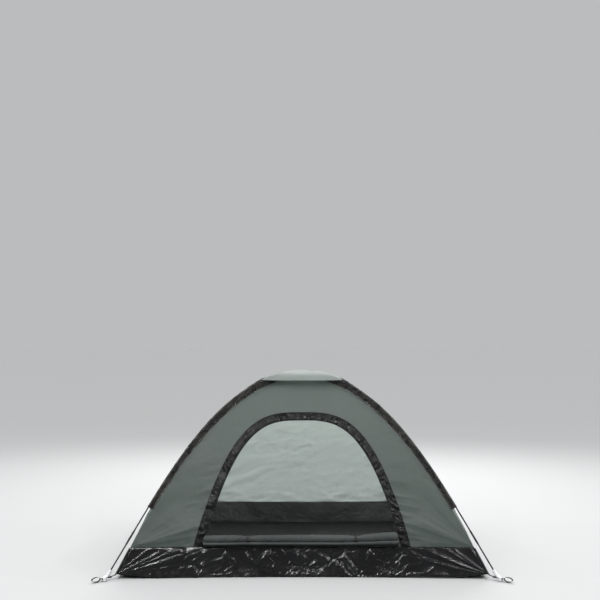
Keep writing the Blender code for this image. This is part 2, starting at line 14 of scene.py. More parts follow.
import bmesh
import bpy
import numpy as np
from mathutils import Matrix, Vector

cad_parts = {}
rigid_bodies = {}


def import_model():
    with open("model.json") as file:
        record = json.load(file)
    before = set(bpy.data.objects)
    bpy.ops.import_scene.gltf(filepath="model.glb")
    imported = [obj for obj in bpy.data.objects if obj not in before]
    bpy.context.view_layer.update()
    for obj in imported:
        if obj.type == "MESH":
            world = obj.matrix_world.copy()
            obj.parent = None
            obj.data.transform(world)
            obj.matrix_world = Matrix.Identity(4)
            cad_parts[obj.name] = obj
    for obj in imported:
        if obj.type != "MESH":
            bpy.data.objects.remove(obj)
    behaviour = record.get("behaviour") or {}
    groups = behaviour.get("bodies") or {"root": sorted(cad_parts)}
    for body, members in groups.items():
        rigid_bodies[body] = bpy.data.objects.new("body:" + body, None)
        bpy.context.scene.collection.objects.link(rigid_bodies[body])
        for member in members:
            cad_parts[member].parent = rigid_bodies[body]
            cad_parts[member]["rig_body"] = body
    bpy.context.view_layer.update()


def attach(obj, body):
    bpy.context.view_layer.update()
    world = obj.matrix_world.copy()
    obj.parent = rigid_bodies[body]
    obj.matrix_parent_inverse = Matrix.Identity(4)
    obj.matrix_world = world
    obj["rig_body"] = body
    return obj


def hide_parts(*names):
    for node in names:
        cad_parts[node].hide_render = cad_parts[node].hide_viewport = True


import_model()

Array = np.ndarray
Colour = tuple[int, int, int]
Line = tuple[Array, Array]  # points, and the direction away from the cloth at each of them
Noise = Callable[[Array, Array, int], Array]
Node, Socket, Tree = bpy.types.Node, bpy.types.NodeSocket, bpy.types.NodeTree
Material, Piece = bpy.types.Material, bpy.types.Object
log = logging.getLogger("tent")
UP = np.array([0.0, 0.0, 1.0])
INSIDE = np.array([0.0, 0.0, 0.3])  # a point in the tent, which outer faces turn away from
CLOTH_MAP = "cloth"  # the UV map that holds each sheet's flat pattern, in metres


class Side(Enum):
    """The four sides of the tent: the sign of the axis it faces, and whether it is a wide one."""

    FRONT = ("front", -1, True)
    REAR = ("rear", 1, True)
    LEFT = ("left", -1, False)
    RIGHT = ("right", 1, False)

    def __init__(self, label: str, facing: int, wide: bool) -> None:
        """Keeps the side's word, direction and kind."""
        self.label = label
        self.facing = facing
        self.wide = wide


class Corner(Enum):
    """The four corners, as the signs of their place in X and Y."""

    FRONT_LEFT = (-1, -1)
    FRONT_RIGHT = (1, -1)
    REAR_LEFT = (-1, 1)
    REAR_RIGHT = (1, 1)

    @property
    def label(self) -> str:
        """The corner's name as the frame's nodes spell it."""
        return self.name.lower()


# Noise: a place is divided by a bump's size in metres, and a seed chooses the pattern


def hashed(column: Array, row: Array, seed: int) -> Array:
    """Random numbers from -1 to 1 at whole-number places, by mixing the place's bits with the seed.

    Args:
        column, row: whole numbers.
        seed: another number gives another pattern.

    Returns:
        One number for each place.
    """
    mixed = (column.astype(np.int64) * 374761393 + row.astype(np.int64) * 668265263) & 0xFFFFFFFF
    mixed = (mixed + seed * 2654435761) & 0xFFFFFFFF
    mixed = ((mixed ^ (mixed >> 13)) * 1274126177) & 0xFFFFFFFF
    mixed = ((mixed ^ (mixed >> 16)) * 2246822519) & 0xFFFFFFFF
    return ((mixed ^ (mixed >> 15)) & 0xFFFF) / 32767.5 - 1


def soft_noise(x: Array, y: Array, seed: int) -> Array:
    """Smooth noise from -1 to 1: random values on a square lattice, blended by a quintic curve.

    Args:
        x, y: places, with one bump for each unit or so.
        seed: chooses the pattern.

    Returns:
        The noise at each place.
    """
    x, y = np.broadcast_arrays(np.asarray(x, float), np.asarray(y, float))
    left, low = np.floor(x), np.floor(y)
    fx, fy = x - left, y - low
    wx, wy = (f * f * f * (f * (f * 6 - 15) + 10) for f in (fx, fy))
    below = hashed(left, low, seed) * (1 - wx) + hashed(left + 1, low, seed) * wx
    above = hashed(left, low + 1, seed) * (1 - wx) + hashed(left + 1, low + 1, seed) * wx
    return below * (1 - wy) + above * wy


def facet_noise(x: Array, y: Array, seed: int) -> Array:
    """Creased noise from -1 to 1: random heights on a lattice of triangles, with flat facets between
    them and sharp folds where they meet, as in crumpled film.

    Args:
        x, y: places, with one facet for each unit or so.
        seed: chooses the pattern.

    Returns:
        The noise at each place.
    """
    x, y = np.broadcast_arrays(np.asarray(x, float), np.asarray(y, float))
    skew = (x + y) * (math.sqrt(3) - 1) / 2
    column, row = np.floor(x + skew), np.floor(y + skew)
    fx, fy = x + skew - column, y + skew - row
    right = fx > fy
    big, small = np.maximum(fx, fy), np.minimum(fx, fy)
    start = hashed(column, row, seed)
    middle = hashed(column + right, row + ~right, seed)
    end = hashed(column + 1, row + 1, seed)
    return start * (1 - big) + middle * (big - small) + end * small


def layered(noise: Noise, x: Array, y: Array, seed: int, layers: int) -> Array:
    """Several octaves of a noise added up, each at half the size and half the strength."""
    total = sum(0.5**k * noise(x * 2**k + 7.3 * k, y * 2**k - 3.1 * k, seed + k) for k in range(layers))
    return total / sum(0.5**k for k in range(layers))


def ridged(noise: Array) -> Array:
    """Turns noise round zero into thin ridges: one where it crosses zero, falling to zero beside."""
    return 1 - np.abs(noise)


def ramp(value: Array, start: float, end: float) -> Array:
    """A smooth step from 0 at start to 1 at end."""
    share = np.clip((np.asarray(value, float) - start) / (end - start), 0, 1)
    return share * share * (3 - 2 * share)


# The tent's form, with the same driving sizes as its frame


@dataclass(frozen=True)
class Bow:
    """Half of a bow in a diagonal's plane, as a Bezier curve from the ground up to the crown.

    Radius is measured from the tent's middle along the diagonal. The bow leaves its foot at the
    angle; leg and crown_handle are the lengths of the curve's two handles. The dip lowers the crown
    by a squared cosine over the crossing's reach.
    """

    foot: float
    angle: float
    leg: float
    crown_handle: float
    crown: float
    dip: float = 0.0
    dip_reach: float = 0.30
    samples: int = 1601

    @cached_property
    def points(self) -> Array:
        """Radius and height of points along the bow."""
        t = np.linspace(0, 1, self.samples)
        controls = np.array(
            [
                (self.foot, 0.0),
                (self.foot - self.leg * math.cos(self.angle), self.leg * math.sin(self.angle)),
                (self.crown_handle, self.crown),
                (0.0, self.crown),
            ]
        )
        weights = np.stack([(1 - t) ** 3, 3 * (1 - t) ** 2 * t, 3 * (1 - t) * t**2, t**3], 1)
        line = weights @ controls
        near = np.clip(line[:, 0] / self.dip_reach, 0, 1)
        line[:, 1] -= self.dip * np.cos(math.pi / 2 * near) ** 2
        return line

    @cached_property
    def distances(self) -> Array:
        """The distance of each point along the bow, from its foot."""
        return path_lengths(self.points)

    @cached_property
    def outward(self) -> Array:
        """The direction square to the bow at each point, outwards."""
        along = unit(np.gradient(self.points, axis=0))
        return np.stack([along[:, 1], -along[:, 0]], 1)

    @property
    def length(self) -> float:
        """The bow's length from its foot to the crown."""
        return float(self.distances[-1])

    def at(self, distance: Array, lift: Array = 0.0) -> tuple[Array, Array]:
        """Radius and height at a distance along the bow, moved outwards by lift."""
        place = [np.interp(distance, self.distances, self.points[:, i]) for i in (0, 1)]
        normal = self.normal(distance)
        return place[0] + lift * normal[0], place[1] + lift * normal[1]

    def normal(self, distance: Array) -> Array:
        """The outward direction at a distance along the bow, as radius and height."""
        return np.array([np.interp(distance, self.distances, self.outward[:, i]) for i in (0, 1)])

    def gaps(self, radius: Array, height: Array) -> Array:
        """The distances from places to all of the bow's points, one row for each place."""
        return np.hypot(self.points[:, 0] - radius[:, None], self.points[:, 1] - height[:, None])

    def distance_at_radius(self, radius: Array) -> Array:
        """The distance along the bow at which it has this radius."""
        return np.interp(-np.asarray(radius, float), -self.points[:, 0], self.distances)

    def distance_at_height(self, height: Array) -> Array:
        """The distance along the bow at which it has this height."""
        return np.interp(height, self.points[:, 1], self.distances)


@dataclass(frozen=True)
class TentForm:
    """The shape that every piece lies on: floor plan, pole bows, ridge bows and slack walls."""

    width: float = 2.00
    depth: float = 1.50
    foot_reach: float = 0.0665
    corner_lift: float = 0.025
    corner_lift_reach: float = 0.30
    corner_lift_power: float = 1.5
    tub_height: float = 0.155
    roof_radius: float = 0.16
    wide_bow: float = 0.045
    side_bow: float = 0.035
    bow_power: float = 0.8
    crossing_dip: float = 0.0088
    gap: float = 0.0003

    @cached_property
    def diagonal(self) -> float:
        """Half of the floor's diagonal."""
        return math.hypot(self.width, self.depth) / 2

    @cached_property
    def share(self) -> Array:
        """How much of a radius along the diagonal lies along X and along Y."""
        return np.array([self.width, self.depth]) / 2 / self.diagonal

    @cached_property
    def foot_radius(self) -> float:
        """Where the poles' feet stand, from the middle."""
        return self.diagonal + self.foot_reach

    @cached_property
    def upper_pole(self) -> Bow:
        """The pole that passes over the other one."""
        return Bow(
            foot=self.foot_radius, angle=math.radians(54), leg=0.62, crown_handle=0.62, crown=1.0925
        )

    @cached_property
    def lower_pole(self) -> Bow:
        """The pole that passes under."""
        return replace(self.upper_pole, dip=self.crossing_dip)

    @cached_property
    def ridge(self) -> Bow:
        """The seam between two walls, under a sleeve."""
        angle = math.radians(58.5)
        foot = self.diagonal + self.corner_lift / math.tan(angle)
        return Bow(foot=foot, angle=angle, leg=0.585, crown_handle=0.557, crown=1.0585)

    @cached_property
    def seam(self) -> float:
        """The distance up the ridge of the seam between tub and wall."""
        return float(self.ridge.distance_at_height(self.tub_height))

    @cached_property
    def roof(self) -> float:
        """The distance up the ridge where the walls end and the vent begins."""
        return float(self.ridge.distance_at_radius(self.roof_radius))

    def pole(self, corner: Corner) -> Bow:
        """The pole whose foot stands at this corner."""
        upper = corner in (Corner.FRONT_LEFT, Corner.REAR_RIGHT)
        return self.upper_pole if upper else self.lower_pole

    def slack(self, distance: Array) -> Array:
        """How slack a wall is between its ridges: full at the floor, none at the roof."""
        return np.clip(1 - np.asarray(distance, float) / self.roof, 0, 1) ** self.bow_power

    def wall_point(self, side: Side, across: Array, distance: Array, lift: Array = 0.0) -> Array:
        """A point of a side's outer face.

        Between its ridges the side bows inwards by its slack times one minus across squared.

        Args:
            side: which side.
            across: from -1 at one ridge to 1 at the other.
            distance: up the ridge, from the floor.
            lift: outwards, square to the ridge.

        Returns:
            Points, with X, Y and Z on the last axis.
        """
        radius, height = self.ridge.at(distance, lift)
        half = self.half_width(side, radius)
        bow = self.wide_bow if side.wide else self.side_bow
        share = self.share[1] if side.wide else self.share[0]
        out = side.facing * (share * radius - bow * self.slack(distance) * (1 - across**2))
        along, out, height = np.broadcast_arrays(across * half, out, height)
        return np.stack([along, out, height] if side.wide else [out, along, height], -1)

    def half_width(self, side: Side, radius: Array) -> Array:
        """Half of a side's width where the ridge has this radius."""
        return (self.share[0] if side.wide else self.share[1]) * radius - self.gap

    def lift_of_floor(self, across_x: Array, across_y: Array) -> Array:
        """How high the floor is off the ground, from its place between the corners on each axis."""
        away = np.hypot(
            (1 - np.abs(across_x)) * self.width / 2, (1 - np.abs(across_y)) * self.depth / 2
        )
        near = np.clip(1 - away / self.corner_lift_reach, 0, 1)
        return self.corner_lift * near**self.corner_lift_power

    @cached_property
    def profiles(self) -> dict[Side, tuple[Array, Array]]:
        """For each side, distances up the ridge and the lengths up the cloth's middle line."""
        found = {}
        distance = np.linspace(0, self.roof, 600)
        for side in Side:
            up = path_lengths(self.wall_point(side, np.zeros_like(distance), distance))
            found[side] = (distance, up - np.interp(self.seam, distance, up))
        return found

    def up_of(self, side: Side, distance: Array) -> Array:
        """The length up a side's cloth from the tub's seam, for a distance up the ridge."""
        return np.interp(distance, *self.profiles[side])

    def distance_of(self, side: Side, up: Array) -> Array:
        """The distance up the ridge for a length up a side's cloth from the tub's seam."""
        distance, length = self.profiles[side]
        return np.interp(up, length, distance)

    def flat_point(self, side: Side, x: Array, up: Array) -> Array:
        """A point of a side's outer face from its flat pattern: x across, and up from the seam."""
        distance = self.distance_of(side, up)
        half = self.half_width(side, self.ridge.at(distance)[0])
        return self.wall_point(side, x / half, distance)

    def out_of(self, corner: Corner) -> Array:
        """The level direction from the middle out to a corner."""
        return np.array([self.share[0] * corner.value[0], self.share[1] * corner.value[1], 0.0])

    def across_of(self, corner: Corner) -> Array:
        """The level direction square to a corner's diagonal."""
        out = self.out_of(corner)
        return np.array([-out[1], out[0], 0.0])

    def pole_path(self, corner: Corner, distances: Array) -> tuple[Array, Array]:
        """Centres and outward directions of a pole at distances from a corner's foot."""
        out = self.out_of(corner)
        bow = self.pole(corner)
        radius, height = bow.at(distances)
        normal = bow.normal(distances)
        centres = out * radius[:, None] + UP * height[:, None]
        return centres, out * normal[0][:, None] + UP * normal[1][:, None]


FORM = TentForm()


# Meshes


def grid_quads(rows: int, columns: int, wrap: bool) -> Array:
    """Corner numbers of a grid's cells, row by row; a wrapped grid's last column meets its first."""
    r, c = np.meshgrid(np.arange(rows - 1), np.arange(columns - 1), indexing="ij")
    here = r * columns + c
    quads = np.stack([here, here + 1, here + columns + 1, here + columns], -1).reshape(-1, 4)
    if wrap:
        row, column = np.divmod(quads, columns)
        quads = row * (columns - 1) + column % (columns - 1)
    return quads


class Skin:
    """Collects grids of points and turns them into one mesh object."""

    def __init__(self) -> None:
        """Starts with nothing in it."""
        self.points: list[Array] = []
        self.faces: list[Array] = []
        self.flats: list[Array] = []
        self.slots: list[Array] = []
        self.count = 0

    def take(self, points: Array, faces: Array, flats: Array, slot: int) -> None:
        """Adds points and the faces between them.

        Args:
            points: places, n by 3.
            faces: corner numbers among these points, m by corners.
            flats: the pattern's place at each face corner, m by corners by 2.
            slot: the material slot of these faces.
        """
        self.points.append(points)
        self.faces.append(faces + self.count)
        self.flats.append(flats)
        self.slots.append(np.full(len(faces), slot))
        self.count += len(points)

    def grid(self, points: Array, flat: Array, slot: int = 0, wrap: bool = False) -> None:
        """Adds a grid of points, whose last column repeats its first if it wraps round."""
        rows, columns = points.shape[:2]
        places = points[:, :-1] if wrap else points
        corners = flat.reshape(-1, 2)[grid_quads(rows, columns, False)]
        self.take(places.reshape(-1, 3), grid_quads(rows, columns, wrap), corners, slot)

    def cap(self, ring: Array, slot: int = 0) -> None:
        """Closes a ring of points with a fan round its middle."""
        middle = ring.mean(0)
        count = len(ring)
        turn = np.arange(count)
        faces = np.stack([turn, (turn + 1) % count, np.full(count, count)], 1)
        local = (ring - middle) @ np.linalg.svd(ring - middle)[2][:2].T
        flats = np.concatenate([local, [[0.0, 0.0]]])[faces]
        self.take(np.concatenate([ring, middle[None]]), faces, flats, slot)

    def sheet(
        self, points: Array, flat: Array, thickness: float, inside: Array, slots: tuple[int, int] = (0, 0)
    ) -> None:
        """Adds a cloth of two layers joined round its rim.

        Args:
            points: the outer layer's grid.
            flat: the pattern's place at each point.
            thickness: between the layers.
            inside: a point, or a grid of points, on the inner side.
            slots: the outer and the inner layer's material slots.
        """
        normal = outward_normals(points, inside)
        under = points - normal * thickness
        self.grid(points, flat, slots[0])
        self.grid(under, flat, slots[1])
        for index in (np.s_[0], np.s_[-1], np.s_[:, 0], np.s_[:, -1]):
            rim = np.stack([points[index], under[index]])
            edge = np.stack([flat[index], flat[index]])
            self.grid(rim, edge, slots[0])

    def tube(self, rings: Array, flat: Array, slot: int = 0, capped: bool = True) -> None:
        """Adds rings of points, each of which repeats its first point at its end."""
        self.grid(rings, flat, slot, wrap=True)
        if capped:
            self.cap(rings[0, :-1], slot)
            self.cap(rings[-1, :-1], slot)

    def copies(self, bodies: Array, faces: Array, slot: int = 0) -> None:
        """Adds many small bodies of the same faces: bodies is count by points by 3."""
        count, size = bodies.shape[:2]
        every = (faces[None] + np.arange(count)[:, None, None] * size).reshape(-1, faces.shape[1])
        points = bodies.reshape(-1, 3)
        self.take(points, every, points[every][..., :2], slot)

    def finish(self, name: str, materials: Sequence[Material], sharp: Optional[float] = None) -> Piece:
        """Makes the object, with doubles merged and faces pointing out, riding on the tent.

        Args:
            name: the piece's name.
            materials: one for each slot.
            sharp: edges steeper than this angle in degrees stay sharp.

        Returns:
            The linked object.
        """
        mesh = bpy.data.meshes.new(name)
        faces = [face for part in self.faces for face in part.tolist()]
        mesh.from_pydata(np.concatenate(self.points), [], faces, shade_flat=False)
        layer = mesh.uv_layers.new(name=CLOTH_MAP)
        flats = np.concatenate([part.reshape(-1, 2) for part in self.flats])
        layer.uv.foreach_set("vector", flats.astype(np.float32).ravel())
        mesh.polygons.foreach_set("material_index", np.concatenate(self.slots).astype(np.int32))
        for material in materials:
            mesh.materials.append(material)
        shape = bmesh.new()
        shape.from_mesh(mesh)
        bmesh.ops.remove_doubles(shape, verts=shape.verts, dist=1e-6)
        bmesh.ops.recalc_face_normals(shape, faces=shape.faces)
        shape.to_mesh(mesh)
        shape.free()
        if sharp is not None:
            mesh.set_sharp_from_angle(angle=math.radians(sharp))
        made = bpy.data.objects.new(name, mesh)
        bpy.context.scene.collection.objects.link(made)
        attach(made, "root")
        log.info("%s: %d faces", name, len(mesh.polygons))
        return made


def outward_normals(points: Array, inside: Array) -> Array:
    """The directions square to a grid of points, turned away from a point on its inner side."""
    along = np.gradient(points, axis=1)
    up = np.gradient(points, axis=0)
    normal = np.cross(along, up)
    normal /= np.maximum(np.linalg.norm(normal, axis=-1, keepdims=True), 1e-12)
    facing = np.sign(((points - inside) * normal).sum(-1).mean())
    return normal * (facing or 1.0)


def circle(centre: Array, first: Array, second: Array, radius: Array, sides: int) -> Array:
    """Rings of points round centres, from the first direction towards the second and closed.

    Args:
        centre: ring centres, n by 3.
        first, second: two directions square to each other and to the path, n by 3 or 3.
        radius: of each ring.
        sides: points round a ring.

    Returns:
        Rings, n by sides + 1 by 3.
    """
    turn = np.linspace(0, 2 * math.pi, sides + 1)[None, :, None]
    first, second = (np.atleast_2d(d)[:, None] for d in (first, second))
    radius = np.atleast_1d(radius)[:, None, None]
    return centre[:, None] + radius * (np.cos(turn) * first + np.sin(turn) * second)


def rounded(turn: Array, power: float) -> tuple[Array, Array]:
    """A rounded square's outline: the turn's cosine and sine, each to a power with its sign kept."""
    x, y = (np.sign(wave) * np.abs(wave) ** power for wave in (np.cos(turn), np.sin(turn)))
    return x, y


def ring_flat(lengths: Array, radius: float, sides: int) -> Array:
    """The pattern of a tube: distance along it, and round it."""
    around = np.linspace(0, 2 * math.pi * radius, sides + 1)
    return np.stack(np.meshgrid(around, lengths), -1)


def unit(vectors: Array) -> Array:
    """The vectors brought to a length of one."""
    return vectors / np.linalg.norm(vectors, axis=-1, keepdims=True)


def path_lengths(path: Array) -> Array:
    """The distance of each point along a path."""
    return np.concatenate([[0], np.cumsum(np.linalg.norm(np.diff(path, axis=0), axis=1))])


def resampled(path: Array, step: float) -> Array:
    """A path with points an even step apart."""
    lengths = path_lengths(path)
    places = np.linspace(0, lengths[-1], max(2, round(lengths[-1] / step) + 1))
    return np.stack([np.interp(places, lengths, path[:, k]) for k in range(path.shape[1])], 1)


# Finishes


def linear(colour: Colour, scale: float = 1.0) -> tuple[float, float, float, float]:
    """A shader colour from sRGB bytes, scaled in brightness."""
    return (*[((c / 255 + 0.055) / 1.055) ** 2.4 * scale for c in colour], 1.0)


class Nodes:
    """Short calls that lay out a node tree."""

    def __init__(self, tree: Tree) -> None:
        """Works on this tree."""
        self.tree = tree

    def add(self, kind: str, inputs: Optional[dict] = None, **settings: object) -> Node:
        """Adds a node, with its settings, and values or links for its inputs."""
        node = self.tree.nodes.new(kind)
        for key, value in settings.items():
            setattr(node, key, value)
        for key, value in (inputs or {}).items():
            self.put(node.inputs[key], value)
        return node

    def put(self, socket: Socket, value: object) -> None:
        """Links an output into a socket, or sets the socket to a value."""
        if isinstance(value, Socket):
            self.tree.links.new(value, socket)
        else:
            socket.default_value = value

    def math(self, operation: str, *values: object, clamp: bool = False) -> Socket:
        """A sum, product or other operation on numbers."""
        node = self.add("ShaderNodeMath", operation=operation, use_clamp=clamp)
        for socket, value in zip(node.inputs, values):
            self.put(socket, value)
        return node.outputs[0]

    def mix(self, factor: object, a: object, b: object) -> Socket:
        """A colour between a and b."""
        node = self.add("ShaderNodeMix", data_type="RGBA")
        for socket, value in zip((node.inputs[0], node.inputs[6], node.inputs[7]), (factor, a, b)):
            self.put(socket, value)
        return node.outputs[2]

    def blend(self, factor: object, a: object, b: object) -> Socket:
        """A number between a and b."""
        return self.add("ShaderNodeMix", {0: factor, 2: a, 3: b}, data_type="FLOAT").outputs[0]

    def span(self, value: object, source: tuple[float, float], target: tuple[float, float]) -> Socket:
        """A value brought from one range smoothly to another."""
        node = self.add("ShaderNodeMapRange", interpolation_type="SMOOTHSTEP")
        for socket, number in zip(node.inputs, (value, *source, *target)):
            self.put(socket, number)
        return node.outputs[0]

    def noise(self, place: object, scale: object, detail: float, warp: float = 0.0) -> Socket:
        """Noise from 0 to 1 at a place."""
        inputs = {"Vector": place, "Scale": scale, "Detail": detail, "Distortion": warp}
        return self.add("ShaderNodeTexNoise", inputs).outputs[0]

    def bump(self, strength: float, distance: float, height: object, normal: object = None) -> Socket:
        """A normal tilted by a height, over another normal where one is given."""
        inputs = {"Strength": strength, "Distance": distance, "Height": height}
        if normal is not None:
            inputs["Normal"] = normal
        return self.add("ShaderNodeBump", inputs).outputs[0]


class Effect(Enum):
    """The shader groups that several finishes share."""

    WEAVE = "plain_weave"
    MOTTLE = "soft_mottle"
    CREASES = "fine_creases"
    DUST = "ground_dust"


def group_of(effect: Effect) -> Tree:
    """The node group of an effect, built when it is first asked for."""
    found = bpy.data.node_groups.get(effect.value)
    if found:
        return found
    builders = {
        Effect.WEAVE: build_weave,
        Effect.MOTTLE: build_mottle,
        Effect.CREASES: build_creases,
        Effect.DUST: build_dust,
    }
    tree = bpy.data.node_groups.new(effect.value, "ShaderNodeTree")
    builders[effect](tree)
    return tree


def open_group(tree: Tree, inputs: dict[str, str], outputs: dict[str, str]) -> tuple[Nodes, Node, Node]:
    """Gives a group its sockets and its two end nodes."""
    for name, kind in inputs.items():
        tree.interface.new_socket(name=name, in_out="INPUT", socket_type=kind)
    for name, kind in outputs.items():
        tree.interface.new_socket(name=name, in_out="OUTPUT", socket_type=kind)
    nodes = Nodes(tree)
    return nodes, nodes.add("NodeGroupInput"), nodes.add("NodeGroupOutput")


def build_weave(tree: Tree) -> None:
    """A plain weave: threads cross one over one, and each is a half wave across.

    The height is the sine of the place across whichever thread is on top, by the parity of the cell.
    """
    nodes, given, out = open_group(
        tree,
        {"Place": "NodeSocketVector", "Threads": "NodeSocketFloat"},
        {"Height": "NodeSocketFloat", "Thread": "NodeSocketFloat"},
    )
    place = nodes.add("ShaderNodeSeparateXYZ", {0: given.outputs["Place"]})
    across, along = (nodes.math("MULTIPLY", place.outputs[k], given.outputs["Threads"]) for k in (0, 1))
    cells = nodes.math("ADD", nodes.math("FLOOR", across), nodes.math("FLOOR", along))
    parity = nodes.math("FLOORED_MODULO", cells, 2.0)
    waves = [
        nodes.math("ABSOLUTE", nodes.math("SINE", nodes.math("MULTIPLY", axis, math.pi)))
        for axis in (across, along)
    ]
    nodes.put(out.inputs["Height"], nodes.blend(parity, *waves))
    nodes.put(out.inputs["Thread"], parity)


def build_mottle(tree: Tree) -> None:
    """Cloudy variation from 0 to 1: two noises, one five times finer than the other."""
    nodes, given, out = open_group(
        tree,
        {"Place": "NodeSocketVector", "Scale": "NodeSocketFloat"},
        {"Value": "NodeSocketFloat"},
    )
    place, scale = given.outputs["Place"], given.outputs["Scale"]
    broad = nodes.math("MULTIPLY", nodes.noise(place, scale, 2.0), 0.65)
    fine = nodes.noise(place, nodes.math("MULTIPLY", scale, 5.0), 3.0)
    both = nodes.math("MULTIPLY_ADD", fine, 0.35, broad)
    nodes.put(out.inputs["Value"], nodes.span(both, (0.32, 0.68), (0.0, 1.0)))


def build_creases(tree: Tree) -> None:
    """Fine folds as a height: thin ridges where a warped noise crosses its middle value."""
    nodes, given, out = open_group(
        tree,
        {"Place": "NodeSocketVector", "Scale": "NodeSocketFloat", "Sharpness": "NodeSocketFloat"},
        {"Height": "NodeSocketFloat"},
    )
    noise = nodes.noise(given.outputs["Place"], given.outputs["Scale"], 3.0, warp=0.7)
    away = nodes.math("ABSOLUTE", nodes.math("MULTIPLY_ADD", noise, 2.0, -1.0))
    ridge = nodes.math("SUBTRACT", 1.0, away, clamp=True)
    nodes.put(out.inputs["Height"], nodes.math("POWER", ridge, given.outputs["Sharpness"]))


def build_dust(tree: Tree) -> None:
    """Dust near the ground as a mask: it fades with height and is broken up by noise."""
    nodes, given, out = open_group(
        tree,
        {"Place": "NodeSocketVector", "Reach": "NodeSocketFloat"},
        {"Mask": "NodeSocketFloat"},
    )
    place = nodes.add("ShaderNodeSeparateXYZ", {0: given.outputs["Place"]})
    share = nodes.math("DIVIDE", place.outputs[2], given.outputs["Reach"])
    fade = nodes.math("SUBTRACT", 1.0, share, clamp=True)
    patches = nodes.span(nodes.noise(given.outputs["Place"], 38.0, 6.0), (0.42, 0.70), (0.0, 1.0))
    nodes.put(out.inputs["Mask"], nodes.math("MULTIPLY", fade, patches))


def new_finish(name: str, roughness: float) -> tuple[Material, Nodes, Node]:
    """A material with its Principled shader, ready to be wired."""
    made = bpy.data.materials.new(name)
    made.use_nodes = True
    shader = made.node_tree.nodes["Principled BSDF"]
    shader.inputs["Roughness"].default_value = roughness
    return made, Nodes(made.node_tree), shader


def place_of(nodes: Nodes, flat: bool) -> Socket:
    """Where a pattern reads its place: the cloth's flat map, or the object's own coordinates."""
    if flat:
        return nodes.add("ShaderNodeUVMap", uv_map=CLOTH_MAP).outputs[0]
    return nodes.add("ShaderNodeTexCoord").outputs["Object"]


def effect(nodes: Nodes, kind: Effect, inputs: dict) -> Node:
    """Places a shared group in a material with its own values."""
    node = nodes.add("ShaderNodeGroup", node_tree=group_of(kind))
    for key, value in inputs.items():
        nodes.put(node.inputs[key], value)
    return node


def mottle_of(nodes: Nodes, scale: float) -> Socket:
    """The shared mottle over a piece, on its own coordinates."""
    return effect(nodes, Effect.MOTTLE, {"Place": place_of(nodes, False), "Scale": scale}).outputs[0]


@dataclass(frozen=True)
class Cloth:
    """Woven polyester or coated film: colour, gloss, weave, fine creases and dust."""

    name: str
    colour: Colour
    shade: Colour
    roughness: float = 0.6
    threads: float = 900.0  # a metre
    weave_depth: float = 0.00012
    crease_scale: float = 9.0
    crease_depth: float = 0.0012
    crease_sharpness: float = 3.0
    mottle_scale: float = 2.2
    sheen: float = 0.0
    gloss_spread: float = 0.12
    dust: float = 0.0
    dust_reach: float = 0.12
    dust_colour: Colour = (112, 108, 100)
    specular: float = 0.5
    through: float = 0.0  # the share of light that the cloth lets through
    through_colour: Colour = (232, 238, 235)

    def material(self) -> Material:
        """The finish as a Blender material.

        Colour runs between the two tones by a cloudy mottle, threads lighten it a little, and dust
        covers it near the ground. Height is the weave plus thin creases. A cloth that lets light
        through is mixed with a translucent shader by that share.
        """
        made, nodes, shader = new_finish(self.name, self.roughness)
        flat = place_of(nodes, True)
        mottle = mottle_of(nodes, self.mottle_scale)
        weave = effect(nodes, Effect.WEAVE, {"Place": flat, "Threads": self.threads})
        creases = effect(
            nodes,
            Effect.CREASES,
            {"Place": flat, "Scale": self.crease_scale, "Sharpness": self.crease_sharpness},
        )
        colour = nodes.mix(mottle, linear(self.shade), linear(self.colour))
        thread = nodes.math("MULTIPLY", weave.outputs["Thread"], 0.05)
        colour = nodes.mix(thread, colour, linear(self.colour, 1.6))
        if self.dust:
            low = effect(nodes, Effect.DUST, {"Place": place_of(nodes, False), "Reach": self.dust_reach})
            mask = nodes.math("MULTIPLY", low.outputs[0], self.dust)
            colour = nodes.mix(mask, colour, linear(self.dust_colour))
        nodes.put(shader.inputs["Base Color"], colour)
        low, high = self.roughness - self.gloss_spread / 2, self.roughness + self.gloss_spread / 2
        nodes.put(shader.inputs["Roughness"], nodes.span(mottle, (0.0, 1.0), (low, high)))
        shader.inputs["Specular IOR Level"].default_value = self.specular
        if self.sheen:
            shader.inputs["Sheen Weight"].default_value = self.sheen
            shader.inputs["Sheen Roughness"].default_value = 0.4
        woven = nodes.bump(0.6, self.weave_depth, weave.outputs["Height"])
        normal = nodes.bump(1.0, self.crease_depth, creases.outputs[0], woven)
        nodes.put(shader.inputs["Normal"], normal)
        if self.through:
            glow = nodes.add(
                "ShaderNodeBsdfTranslucent", {"Color": linear(self.through_colour), "Normal": normal}
            )
            both = nodes.add(
                "ShaderNodeMixShader", {0: self.through, 1: shader.outputs[0], 2: glow.outputs[0]}
            )
            nodes.put(made.node_tree.nodes["Material Output"].inputs["Surface"], both.outputs[0])
        return made


